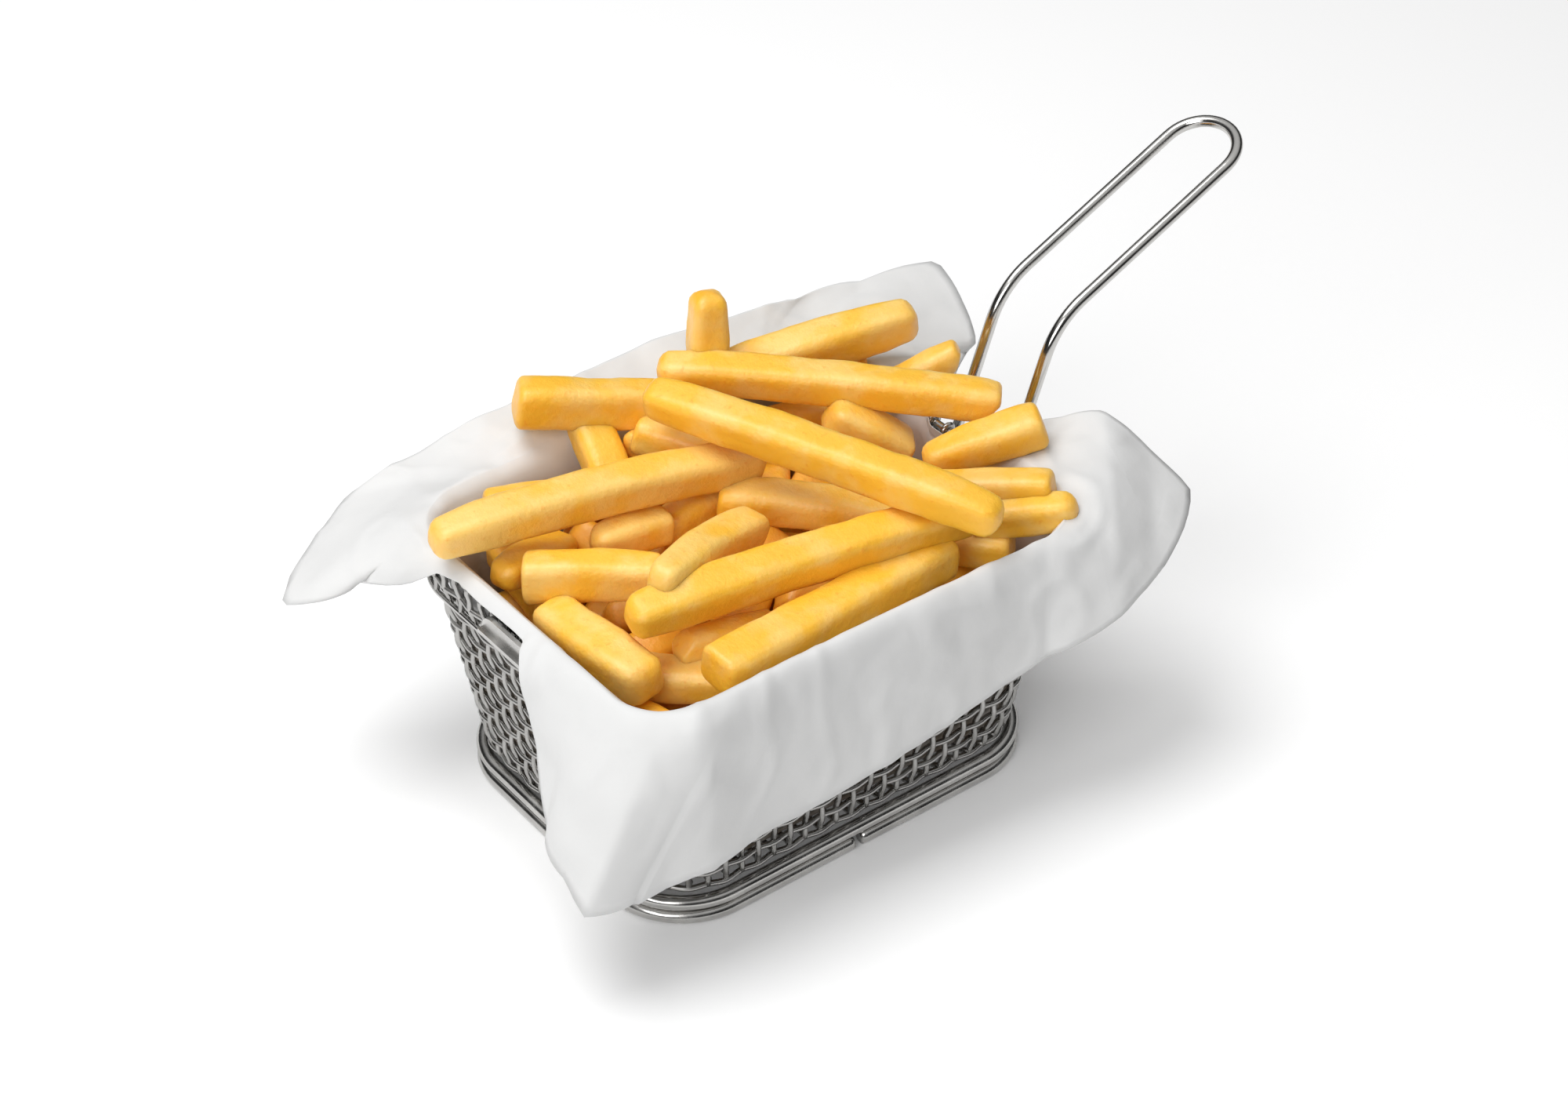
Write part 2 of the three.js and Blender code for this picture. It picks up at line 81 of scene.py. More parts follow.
BASKET = node_middle("base_wire_lower")
CENTRE = np.array([BASKET.x, BASKET.y, 0.0])
BASE_WIRE = node_size("base_wire_lower").z
RIM_WIRE = node_size("rim_wire").z
HEM_WIRE = node_size("hem_wire").z
RIM_Z = node_middle("rim_wire").z
HEM_Z = node_middle("hem_wire").z
RIM_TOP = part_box("rim_wire")[1].z
FLOOR_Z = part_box("basket_mesh")[0].z

# ---- the basket's shape ------------------------------------------------------------------------

BASE_RADIUS = 18.4 * MM
BUTT_X = -1.6 * MM               # where the ends of the lower base wire meet, on the front side
BUTT_GAP = 2.4 * MM              # between the two ends
WALL_X = 53.0 * MM               # outer face of the wall at WALL_Z
WALL_Y = 40.85 * MM
WALL_Z = 4.8 * MM
LEAN = 0.128                     # how far the wall leans out for each unit of height
CORNER_LEAN = 0.04               # how much tighter its corners get
RIM_RADIUS = 15.2 * MM
HEM_RADIUS = 17.4 * MM

LEG_SPACING = 18.8 * MM
LEG_FOOT_Z = 9.2 * MM
LEG_OFF_WALL = 0.3 * MM
LEG_KINK = (57.6 * MM, 25.0 * MM)                # x and z of the bends, down the wire's middle
LEG_BEND = (80.4 * MM, 89.1 * MM)
GRIP_END = (130.0 * MM, 111.7 * MM)
KINK_RADIUS = 12 * MM
BEND_RADIUS = 19 * MM

PAPER_INSET = 2.9 * MM           # middle of the paper, from the wall's outer face
PAPER_FLOOR = FLOOR_Z + 2.5 * MM

# The paper along the rim. Each row: where on the rim (0 is the middle of the end away from the
# handle, going by the front side), how far its fold stands above the rim, and where its hem is from
# the fold: outwards, along the rim and upwards. All but the first are in millimetres.
PAPER_HEM = [
    (0.004, 3.2, 2.6, 0.0, -2.2), (0.013, 3.2, 2.8, 0.0, -2.2), (0.019, 3.2, 5.2, -0.5, -2.8),
    (0.024, 3.2, 6.4, -1.0, -7.0),
    (0.040, 3.4, 7.5, -1.5, -21.0), (0.068, 3.6, 12.0, -1.0, -34.0), (0.093, 3.2, 17.5, -4.0, -35.5),
    (0.114, 3.2, 18.5, -16.0, -39.5), (0.139, 3.6, 3.0, -22.0, -41.5), (0.187, 4.0, 3.5, -21.0, -39.5),
    (0.237, 4.0, 5.5, -12.0, -37.5), (0.285, 4.0, 6.5, -8.0, -33.0), (0.321, 4.0, 7.5, -10.0, -30.0),
    (0.356, 4.0, 9.5, -4.0, -24.0), (0.388, 4.6, 16.0, -5.0, -18.0), (0.409, 5.6, 32.5, -1.0, -8.5),
    (0.424, 5.6, 25.5, 0.0, 0.0), (0.439, 5.6, 22.5, 1.0, 1.5), (0.453, 4.4, 14.0, 2.0, 2.5),
    (0.468, 3.0, 5.5, 0.0, 1.5), (0.477, 2.8, 2.0, 0.0, 1.0), (0.482, 2.4, 0.2, 0.0, 1.0),
    (0.492, -2.4, 0.0, 0.0, 2.0), (0.514, -2.4, 0.0, 0.0, 2.0), (0.523, 2.4, 0.2, 0.0, 1.0),
    (0.528, 2.8, 2.5, 0.0, 0.8), (0.535, 3.0, 6.0, 0.0, -0.5), (0.546, 3.2, 13.5, -1.0, -4.5),
    (0.573, 3.6, 27.5, -2.0, -6.5), (0.606, 4.6, 37.0, -18.0, 2.5), (0.620, 4.6, 20.5, -16.0, 2.5),
    (0.639, 4.6, 10.0, -11.5, 4.0), (0.704, 4.6, 14.5, 0.0, 4.5), (0.780, 4.6, 14.5, 9.0, 3.0),
    (0.846, 4.0, 19.5, 14.0, -3.5), (0.868, 3.6, 23.0, 17.0, -10.5), (0.885, 3.2, 28.5, 21.5, -16.0),
    (0.913, 2.8, 15.5, -8.0, -12.0), (0.922, 3.0, 7.0, -2.0, -8.0), (0.932, 3.0, 3.6, 0.0, -3.4),
    (0.950, 3.0, 2.6, 0.0, -2.2), (0.976, 3.2, 2.6, 0.0, -2.2),
]

# The fries that show, from the top of the heap down. Each row: centre in millimetres from the
# basket's middle, heading and tilt in degrees, length, how far the middle bows up, thickness as a
# share of the cut, roll in degrees, and the shape of the two ends.
FRIES = [
    (14, -8, 80, -63, -5, 85, 1.0, 1.00, 8, "round", "round"),
    (-9, 43, 76, -25, -9, 38, 0.0, 1.04, 0, "flat", "flat"),
    (36, 17, 76, -43, -3, 78, 0.8, 0.95, 4, "round", "slant"),
    (46, 32, 75, -20, 9, 46, 0.6, 1.08, 12, "flat", "round"),
    (20, 41, 77, 44, 83, 34, 0.0, 1.00, 20, "flat", "round"),
    (46, 36, 66, -27, 4, 26, 0.0, 0.92, 0, "flat", "flat"),
    (62, 16, 70, -34, 28, 21, 0.0, 0.78, 0, "flat", "slant"),
    (54, -16, 71, -28, 16, 28, 0.0, 0.95, 5, "round", "flat"),
    (46, -26, 67, -50, 10, 31, 0.0, 0.90, 0, "flat", "flat"),
    (49, -36, 65, -49, 16, 24, 0.0, 0.90, 10, "flat", "round"),
    (-26, 18, 71, -10, -3, 79, 2.2, 1.00, 10, "round", "round"),
    (16, -2, 61, -41, -7, 41, 1.4, 0.98, 0, "flat", "flat"),
    (-38, 4, 64, -37, 0, 30, 0.0, 1.00, 0, "flat", "flat"),
    (-19, -11, 70, 20, -11, 37, 0.5, 0.98, 10, "round", "flat"),
    (-3, -24, 68, -10, 0, 82, 1.0, 1.00, 12, "round", "flat"),
    (-2, -33, 61, 4, -1, 66, 0.0, 1.08, 3, "flat", "flat"),
    (-46, -10, 57, -84, 0, 33, 0.0, 1.15, 8, "flat", "round"),
    (39, 7, 67, -34, -35, 21, 0.0, 1.20, 0, "round", "flat"),
    (-22, -22, 56, -11, -5, 23, 0.0, 0.80, 0, "slant", "flat"),
    (-33, -23, 51, -45, 0, 26, 0.0, 0.95, 0, "flat", "flat"),
    (-42, 22, 59, 17, -13, 23, 0.0, 0.90, 0, "round", "flat"),
    (-30, 32, 64, -22, -4, 30, 0.0, 0.90, 0, "flat", "flat"),
    (-14, 35, 66, -103, -29, 24, 0.0, 1.00, 0, "flat", "flat"),
    (-22, 13, 63, -5, -6, 19, 0.0, 0.90, 0, "round", "flat"),
    (-4, 15, 59, 5, 6, 19, 0.0, 0.90, 0, "flat", "round"),
    (31, 24, 64, -2, -8, 28, 0.0, 0.95, 0, "flat", "flat"),
    (34, -18, 55, -53, 3, 43, 0.0, 0.95, 0, "flat", "flat"),
    (4, 24, 68, -54, -10, 29, 0.0, 0.90, 0, "flat", "flat"),
    (1, 37, 67, 32, -7, 18, 0.0, 0.80, 0, "flat", "flat"),
]

# ---- settings ----------------------------------------------------------------------------------


class BasketSettings(bpy.types.PropertyGroup):
    """Sizes and colour of the wire basket."""

    handle_wire: FloatProperty(
        name="Handle wire", description="Diameter of the handle's wire",
        default=2.8 * MM, min=1 * MM, subtype="DISTANCE", unit="LENGTH", precision=4)
    weave_wire: FloatProperty(
        name="Mesh wire", description="Diameter of the wires of the woven mesh",
        default=1.36 * MM, min=0.3 * MM, subtype="DISTANCE", unit="LENGTH", precision=4)
    weave_pitch: FloatProperty(
        name="Mesh pitch", description="Distance between neighbouring wires of the mesh",
        default=4.7 * MM, min=2 * MM, subtype="DISTANCE", unit="LENGTH", precision=4)
    weave_row: FloatProperty(
        name="Mesh rows", description="Distance between the level wires of the walls",
        default=4.43 * MM, min=2 * MM, subtype="DISTANCE", unit="LENGTH", precision=4)
    steel: FloatVectorProperty(
        name="Steel", description="Colour of the polished steel",
        default=(0.60, 0.59, 0.57), min=0, max=1, size=3, subtype="COLOR")


class PaperSettings(bpy.types.PropertyGroup):
    """The sheet of greaseproof paper."""

    thickness: FloatProperty(
        name="Thickness", description="Thickness of the paper",
        default=0.2 * MM, min=0.05 * MM, subtype="DISTANCE", unit="LENGTH", precision=5)
    wrinkle: FloatProperty(
        name="Wrinkles", description="Depth of the soft folds in the loose flaps",
        default=1.7 * MM, min=0, subtype="DISTANCE", unit="LENGTH", precision=5)
    width: FloatProperty(
        name="Width", description="Width of the sheet before it was laid in",
        default=0.215, min=0.1, subtype="DISTANCE", unit="LENGTH")
    length: FloatProperty(
        name="Length", description="Length of the sheet before it was laid in",
        default=0.245, min=0.1, subtype="DISTANCE", unit="LENGTH")
    colour: FloatVectorProperty(
        name="Paper", description="Colour of the paper",
        default=(0.71, 0.71, 0.705), min=0, max=1, size=3, subtype="COLOR")
    # Partly a grease stain and partly painted shade low inside the basket, behind the mesh.
    greasy_and_shaded: FloatVectorProperty(
        name="Greasy paper", description="Colour where the fries' fat has soaked in",
        default=(0.15, 0.115, 0.08), min=0, max=1, size=3, subtype="COLOR")


class FriesSettings(bpy.types.PropertyGroup):
    """Cut and colours of the fries."""

    cut: FloatProperty(
        name="Cut", description="Side of the square that the potatoes are cut to",
        default=9.4 * MM, min=4 * MM, subtype="DISTANCE", unit="LENGTH", precision=4)
    rounding: FloatProperty(
        name="Rounding", description="Radius of the fries' long edges",
        default=2.4 * MM, min=0.2 * MM, subtype="DISTANCE", unit="LENGTH", precision=4)
    uneven: FloatProperty(
        name="Unevenness", description="Height of the soft bumps on the fries",
        default=0.38 * MM, min=0, subtype="DISTANCE", unit="LENGTH", precision=5)
    tries: IntProperty(
        name="Filling", description="How many places are tried for fries under the ones that show",
        default=2600, min=0)
    seed: IntProperty(
        name="Seed", description="Seed for the fries that fill the heap",
        default=11)
    golden: FloatVectorProperty(
        name="Golden", description="Main colour of the fried surface",
        default=(0.98, 0.53, 0.035), min=0, max=1, size=3, subtype="COLOR")
    # Also the painted highlight along the fries' rounded edges.
    pale: FloatVectorProperty(
        name="Pale", description="Colour where the surface is fried less",
        default=(0.98, 0.62, 0.16), min=0, max=1, size=3, subtype="COLOR")
    # Also the colour of painted shade for the fries deep in the heap and for the core.
    browned: FloatVectorProperty(
        name="Browned", description="Colour of the edges and ends that are fried more",
        default=(0.88, 0.34, 0.012), min=0, max=1, size=3, subtype="COLOR")


class StageSettings(bpy.types.PropertyGroup):
    """Camera and light."""

    azimuth: FloatProperty(
        name="Azimuth", description="Where the camera stands, seen from above",
        default=math.radians(-37.49), subtype="ANGLE", unit="ROTATION")
    elevation: FloatProperty(
        name="Elevation", description="How far the camera stands above the horizon",
        default=math.radians(36.84), subtype="ANGLE", unit="ROTATION")
    distance: FloatProperty(
        name="Distance", description="From the camera to the middle of the view",
        default=0.70, min=0.2, subtype="DISTANCE", unit="LENGTH")
    lens: FloatProperty(
        name="Lens", description="Focal length in millimetres",
        default=68.4, min=10)
    key: FloatProperty(
        name="Key light", description="Power of the large soft light in watts",
        default=7.0, min=0)
    fill: FloatProperty(
        name="Room light", description="Strength of the even light from all sides",
        default=0.47, min=0)


# ---- meshes ------------------------------------------------------------------------------------


def add_mesh(name, points, faces, material, slot, replaces):
    """Makes a smooth piece from points around the basket's middle, in place of parts of the frame."""
    mesh = bpy.data.meshes.new(name)
    mesh.from_pydata((points + CENTRE).tolist(), [], faces)
    mesh.validate()
    mesh.shade_smooth()
    mesh.materials.append(material)
    piece = bpy.data.objects.new(name, mesh)
    bpy.context.scene.collection.objects.link(piece)
    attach(piece, "root")
    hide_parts(*replaces)
    return piece


def add_values(piece, **values):
    """Adds one number for each point of the mesh, under each name."""
    for name, numbers in values.items():
        attribute = piece.data.attributes.new(name, "FLOAT", "POINT")
        attribute.data.foreach_set("value", np.asarray(numbers, np.float32))


def join_parts(parts):
    """Joins (points, faces) pairs into one."""
    points = []
    faces = []
    count = 0
    for part_points, part_faces in parts:
        points.append(part_points)
        faces.extend([tuple(i + count for i in face) for face in part_faces])
        count += len(part_points)
    return np.concatenate(points), faces


def ring_faces(rings, count, first=0, closed=False, turned=False):
    """Faces between rings of points that follow one another; turned ones look the other way."""
    faces = []
    for ring in range(rings if closed else rings - 1):
        a = first + ring * count
        b = first + (ring + 1) % rings * count
        for k in range(count):
            n = (k + 1) % count
            faces.append((a + k, b + k, b + n, a + n) if turned else (a + k, a + n, b + n, b + k))
    return faces


def smooth_step(value, low, high):
    """Rises softly from 0 at low to 1 at high."""
    t = np.clip((value - low) / (high - low), 0, 1)
    return t * t * (3 - 2 * t)


def unit(vectors):
    return vectors / np.maximum(np.linalg.norm(vectors, axis=-1, keepdims=True), 1e-12)


def tube(path, radius, side, sides=12, closed=False, round_ends=True):
    """A round wire along a path. side is a direction that is square to the path all the way."""
    path = np.asarray(path, float)
    if closed:
        along = unit(np.roll(path, -1, 0) - np.roll(path, 1, 0))
    else:
        along = unit(np.gradient(path, axis=0))
    side = np.broadcast_to(np.asarray(side, float), path.shape)
    across = unit(side - (side * along).sum(1, keepdims=True) * along)
    up = np.cross(along, across)
    turn = np.arange(sides) * 2 * math.pi / sides
    ring = np.cos(turn)[None, :, None] * across[:, None] + np.sin(turn)[None, :, None] * up[:, None]
    width = np.full(len(path), radius)
    if not closed and round_ends:
        steps = np.radians([90, 60, 30])
        starts = path[0] - along[0] * radius * np.sin(steps)[:, None]
        finish = path[-1] + along[-1] * radius * np.sin(steps[::-1])[:, None]
        path = np.concatenate([starts, path, finish])
        caps = np.maximum(np.cos(steps), 0.02) * radius
        width = np.concatenate([caps, width, caps[::-1]])
        ring = np.concatenate([ring[:1].repeat(3, 0), ring, ring[-1:].repeat(3, 0)])
    points = (path[:, None] + ring * width[:, None, None]).reshape(-1, 3)
    faces = ring_faces(len(path), sides, closed=closed)
    if not closed:
        faces.append(tuple(range(sides))[::-1])
        faces.append(tuple(range(len(points) - sides, len(points))))
    return points, faces


def on_outline(share, half_x, half_y, radius):
    """Points on a rounded rectangle, at shares of its length from the middle of its -X side."""
    share, half_x, half_y, radius = np.broadcast_arrays(share, half_x, half_y, radius)
    sx = half_x - radius
    sy = half_y - radius
    quarter = np.pi / 2 * radius
    ends = np.cumsum([sy, quarter, 2 * sx, quarter, 2 * sy, quarter, 2 * sx, quarter, sy], axis=0)
    s = (share % 1.0) * ends[-1]
    leg = (s > ends[:-1]).sum(axis=0)
    start = np.concatenate([np.zeros((1,) + s.shape), ends[:-1]])
    s = s - np.take_along_axis(start, leg[None], 0)[0]

    def corner(x, y, quarters):
        angle = quarters * np.pi / 2 + s / radius
        return x + radius * np.cos(angle), y + radius * np.sin(angle)

    runs = [
        (-half_x, -s), corner(-sx, -sy, 2), (-sx + s, -half_y), corner(sx, -sy, 3),
        (half_x, -sy + s), corner(sx, sy, 0), (sx - s, half_y), corner(-sx, sy, 1),
        (-half_x, sy - s)]
    chosen = [leg == k for k in range(len(runs))]
    return np.select(chosen, [x for x, _ in runs]), np.select(chosen, [y for _, y in runs])


def on_wall(share, z, inset):
    """Points on the basket's leaning wall, moved inwards from the outer face."""
    share, z, inset = np.broadcast_arrays(np.asarray(share, float), z, inset)
    grow = LEAN * (z - WALL_Z) - inset
    radius = np.maximum(BASE_RADIUS - CORNER_LEAN * (z - WALL_Z) - inset, 4 * MM)
    x, y = on_outline(share, WALL_X + grow, WALL_Y + grow, radius)
    return np.stack([x, y, z], axis=-1)


def wall_outward(share, z):
    """Level directions out of the wall and along it."""
    step = 1e-4
    ahead = on_wall(np.asarray(share) + step, z, 0)
    behind = on_wall(np.asarray(share) - step, z, 0)
    along = unit(ahead - behind)
    outward = np.stack([along[..., 1], -along[..., 0], np.zeros_like(along[..., 0])], axis=-1)
    return outward, along


def ring_path(half_x, half_y, radius, z, count=360):
    """A level closed path round a rounded rectangle."""
    x, y = on_outline(np.arange(count) / count, half_x, half_y, radius)
    return np.stack([x, y, np.full(count, z)], axis=1)


# ---- materials ---------------------------------------------------------------------------------


class Finish:
    """A material's node tree, with short calls to add and join its nodes."""

    def __init__(self, name):
        self.material = bpy.data.materials.new(name)
        self.material.use_nodes = True
        self.tree = self.material.node_tree
        self.shader = self.tree.nodes["Principled BSDF"]
        self.place = self.tree.nodes.new("ShaderNodeTexCoord").outputs["Object"]

    def add(self, kind, inputs=(), **values):
        node = self.tree.nodes.new(kind)
        for name, value in values.items():
            setattr(node, name, value)
        for name, value in dict(inputs).items():
            self.put(node, name, value)
        return node

    def put(self, node, name, value):
        if isinstance(value, bpy.types.NodeSocket):
            self.tree.links.new(value, node.inputs[name])
        else:
            node.inputs[name].default_value = value

    def noise(self, scale, detail=3.0, roughness=0.5, stretch=None):
        place = self.place
        if stretch:
            place = self.add("ShaderNodeMapping", {"Vector": place, "Scale": stretch}).outputs[0]
        inputs = {"Vector": place, "Scale": scale, "Detail": detail, "Roughness": roughness}
        return self.add("ShaderNodeTexNoise", inputs).outputs["Fac"]

    def attribute(self, name):
        return self.add("ShaderNodeAttribute", attribute_name=name).outputs["Fac"]

    def span(self, value, low, high, to_low=0.0, to_high=1.0):
        """Maps low..high to to_low..to_high, smoothly."""
        inputs = {"Value": value, "From Min": low, "From Max": high, "To Min": to_low, "To Max": to_high}
        return self.add("ShaderNodeMapRange", inputs, interpolation_type="SMOOTHSTEP").outputs["Result"]

    def math(self, operation, a, b):
        node = self.add("ShaderNodeMath", operation=operation)
        self.put(node, 0, a)
        self.put(node, 1, b)
        return node.outputs[0]

    def mix(self, factor, a, b):
        node = self.add("ShaderNodeMix", data_type="RGBA")
        self.put(node, 0, factor)
        self.put(node, 6, a if isinstance(a, bpy.types.NodeSocket) else (*a, 1.0))
        self.put(node, 7, b if isinstance(b, bpy.types.NodeSocket) else (*b, 1.0))
        return node.outputs[2]

    def bump(self, height, strength, distance, normal=None):
        inputs = {"Height": height, "Strength": strength, "Distance": distance}
        if normal is not None:
            inputs["Normal"] = normal
        return self.add("ShaderNodeBump", inputs).outputs["Normal"]

    def set(self, **sockets):
        for name, value in sockets.items():
            self.put(self.shader, name.replace("_", " "), value)


def shade(colour, share):
    """A colour made darker to a share of its light."""
    return tuple(channel * share for channel in colour)


def polished_steel(name, settings, roughness, dark=0.8, light=1.0):
    """Bright drawn wire: fine scratches, and duller patches where it has been handled. A light below 1
    darkens the whole colour as painted shade.
    """
    steel = Finish(name)
    patches = steel.noise(140.0, 4.0)
    scratches = steel.noise(2600.0, 2.0, stretch=(1.0, 1.0, 0.3))
    bright = shade(settings.steel, light)
    colour = steel.mix(steel.span(patches, 0.35, 0.7), shade(bright, dark), bright)
    rough = steel.span(patches, 0.3, 0.75, roughness * 0.75, roughness * 1.5)
    steel.set(
        Base_Color=colour, Metallic=1.0, Roughness=rough,
        Normal=steel.bump(scratches, 0.12, 0.00004))
    return steel.material


def greaseproof_paper(settings):
    """Thin matt paper with faint fibres and soft crumples, greasy where it lies against the fries; that
    dark colour is partly painted shade.
    """
    paper = Finish("greaseproof_paper")
    cloud = paper.noise(38.0, 4.0, 0.6)
    fibre = paper.noise(900.0, 5.0, 0.7, stretch=(1.0, 1.0, 0.5))
    crumple = paper.noise(130.0, 3.0, 0.5)
    cells = paper.add("ShaderNodeTexVoronoi", {"Vector": paper.place, "Scale": 62.0}, feature="F1")
    clean = paper.mix(paper.span(cloud, 0.3, 0.7), shade(settings.colour, 0.965), tuple(settings.colour))
    blotch = paper.span(paper.noise(170.0, 4.0, 0.6), 0.35, 0.6, 0.7, 1.0)
    # The grease mask darkens the paper: partly a grease stain, partly painted shade that keeps the
    # mesh's openings dark.
    soaked = paper.math("MULTIPLY", paper.attribute("grease"), blotch)
    colour = paper.mix(soaked, clean, tuple(settings.greasy_and_shaded))
    soft = paper.bump(crumple, 0.25, 0.0007, paper.bump(cells.outputs["Distance"], 0.18, 0.0022))
    paper.set(
        Base_Color=colour, Roughness=paper.span(cloud, 0.3, 0.7, 0.5, 0.66),
        Normal=paper.bump(fibre, 0.2, 0.00006, soft))
    paper.put(paper.shader, "Specular IOR Level", 0.35)
    return paper.material


def fried_potato(settings, name="fried_potato", light=1.0):
    """Golden crust: paler faces, browned edges and ends, small blisters and a thin coat of oil. Paler
    rounded edges are painted highlight; a light below 1 and the heap's extra browning are painted shade.
    """
    fry = Finish(name)
    browned = fry.attribute("browned")
    tone = fry.attribute("tone")
    cloud = fry.noise(95.0, 3.0, 0.55)
    speck = fry.noise(520.0, 3.0, 0.6)
    grain = fry.noise(1500.0, 3.0, 0.6)
    # The tone makes rounded edges paler as painted highlight, and deep fries less pale as painted shade.
    paleness_and_highlight = fry.math("ADD", fry.span(cloud, 0.3, 0.72), fry.math("MULTIPLY", tone, 0.6))
    golden = shade(settings.golden, light)
    pale = shade(settings.pale, light)
    crust = fry.mix(fry.span(paleness_and_highlight, 0.15, 1.15), golden, pale)
    # Browning of edges and ends, plus painted shade for the fries deep in the heap.
    edges = fry.math("MULTIPLY", browned, fry.span(cloud, 0.2, 0.8, 0.55, 1.0))
    spots = fry.span(speck, 0.6, 0.76, 0.0, 0.45)
    fried_more_and_shaded = fry.math("ADD", edges, spots)
    fried_more_and_shaded.node.use_clamp = True
    colour = fry.mix(fried_more_and_shaded, crust, shade(settings.browned, light))
    blisters = fry.bump(speck, 0.5, 0.0006)
    fry.set(
        Base_Color=colour, Roughness=fry.span(speck, 0.3, 0.7, 0.42, 0.58),
        Normal=fry.bump(grain, 0.18, 0.00012, blisters))
    fry.put(fry.shader, "Specular IOR Level", 0.45)
    fry.put(fry.shader, "Subsurface Weight", 0.4)
    fry.put(fry.shader, "Subsurface Radius", (1.0, 0.72, 0.42))
    fry.put(fry.shader, "Subsurface Scale", 0.004)
    fry.put(fry.shader, "Coat Weight", 0.5)
    fry.put(fry.shader, "Coat Roughness", 0.38)
    return fry.material


def plain_floor():
    """Matt white, with a faint glow that keeps the stage pale."""
    floor = Finish("plain_floor")
    cloud = floor.noise(0.6, 2.0)
    colour = floor.mix(cloud, (0.96, 0.96, 0.96), (0.975, 0.975, 0.975))
    floor.set(Base_Color=colour, Roughness=0.9)
    floor.put(floor.shader, "Specular IOR Level", 0.1)
    floor.put(floor.shader, "Emission Color", (1.0, 1.0, 1.0, 1.0))
    floor.put(floor.shader, "Emission Strength", 0.07)
    return floor.material


# ---- basket ------------------------------------------------------------------------------------


class FRIES_OT_base_wires(bpy.types.Operator):
    """Make the two stacked base wires; the ends of the lower one meet in a butt joint"""

    bl_idname = "fries.base_wires"
    bl_label = "Base wires"

    def execute(self, context):
        steel = polished_steel("base_wire_steel", context.scene.fries_basket, 0.2)
        upper = node_middle("base_wire_upper").z
        size = node_size("base_wire_lower")
        half_x = (size.x - BASE_WIRE) / 2
        half_y = (size.y - BASE_WIRE) / 2
        ring = ring_path(half_x, half_y, BASE_RADIUS, upper)
        part = tube(ring, BASE_WIRE / 2, (0, 0, 1), 20, closed=True)
        add_mesh("base_wire_top", *part, steel, slot="base_wire", replaces=["base_wire_upper"])

        path = ring_path(half_x, half_y, BASE_RADIUS, BASE_WIRE / 2)
        front = np.argmin(np.hypot(path[:, 0] - BUTT_X, path[:, 1] + half_y))
        path = np.roll(path, -front, axis=0)
        away = np.hypot(path[:, 0] - BUTT_X, path[:, 1] + half_y)
        # The ring's points next to the joint give way to the two ends.
        kept = path[away > 0.75 * BUTT_GAP]
        right_end = [BUTT_X + BUTT_GAP / 2, -half_y, BASE_WIRE / 2]
        left_end = [BUTT_X - BUTT_GAP / 2, -half_y, BASE_WIRE / 2]
        path = np.concatenate([[right_end], kept, [left_end]])
        part = tube(path, BASE_WIRE / 2, (0, 0, 1), 20, round_ends=False)
        add_mesh("base_wire_bottom", *part, steel, slot="base_wire", replaces=["base_wire_lower"])
        return {"FINISHED"}


def hairpin(points, radii, step=1.2 * MM):
    """A path of straight runs whose corners are rounded to the given radii, with even steps."""
    points = [np.asarray(p, float) for p in points]
    path = [points[0]]
    for i in range(1, len(points) - 1):
        into = unit(points[i] - points[i - 1])
        out = unit(points[i + 1] - points[i])
        half = math.acos(max(-1.0, min(1.0, float(into @ out)))) / 2
        radius = radii[i - 1]
        reach = radius * math.tan(half)
        start = points[i] - into * reach
        bisector = unit(out - into)
        centre = points[i] + bisector * (radius / math.cos(half))
        spoke = start - centre
        count = max(6, int(2 * half * radius / step) + 1)
        for k in range(count + 1):
            turn = 2 * half * k / count
            path.append(centre + spoke * math.cos(turn) + into * radius * math.sin(turn))
    path.append(points[-1])
    path = np.array(path)
    keep = np.concatenate([[True], np.linalg.norm(np.diff(path, axis=0), axis=1) > 1e-6])
    path = path[keep]
    far = np.concatenate([[0], np.cumsum(np.linalg.norm(np.diff(path, axis=0), axis=1))])
    even = np.linspace(0, far[-1], int(far[-1] / step))
    return np.stack([np.interp(even, far, path[:, k]) for k in range(3)], axis=1)


class FRIES_OT_handle(bpy.types.Operator):
    """Make the U-shaped handle from one bent wire"""

    bl_idname = "fries.handle"
    bl_label = "Handle"

    def execute(self, context):
        settings = context.scene.fries_basket
        steel = polished_steel("handle_steel", settings, 0.14, dark=0.9)
        half = LEG_SPACING / 2
        rise = (GRIP_END[1] - LEG_BEND[1]) / (GRIP_END[0] - LEG_BEND[0])
        reach = half / math.hypot(1, rise)
        tip = (GRIP_END[0] + reach, GRIP_END[1] + rise * reach)
        wall = WALL_X + LEAN * (LEG_FOOT_Z - WALL_Z)
        foot = (wall + LEG_OFF_WALL + settings.handle_wire / 2, LEG_FOOT_Z)
        leg = [foot, LEG_KINK, LEG_BEND, tip]
        up = [(x, half, z) for x, z in leg]
        down = [(x, -half, z) for x, z in reversed(leg)]
        turn = half * 0.995         # just under half the spacing, so that the two quarter turns meet
        radii = [KINK_RADIUS, BEND_RADIUS, turn, turn, BEND_RADIUS, KINK_RADIUS]
        path = hairpin(up + down, radii)
        along = unit(np.gradient(path, axis=0))
        # The side direction is level along the legs and follows the wire round its tip.
        side = np.cross(along, unit(np.array([-rise, 0.0, 1.0])))
        straight = np.abs(along[:, 1]) < 1e-3
        inwards = np.where(path[straight, 1] > 0, -1.0, 1.0)
        side[straight] = inwards[:, None] * np.array([0.0, 1.0, 0.0])
        part = tube(path, settings.handle_wire / 2, side, 20)
        add_mesh("handle_wire", *part, steel, slot="handle_wire", replaces=["handle"])
        return {"FINISHED"}


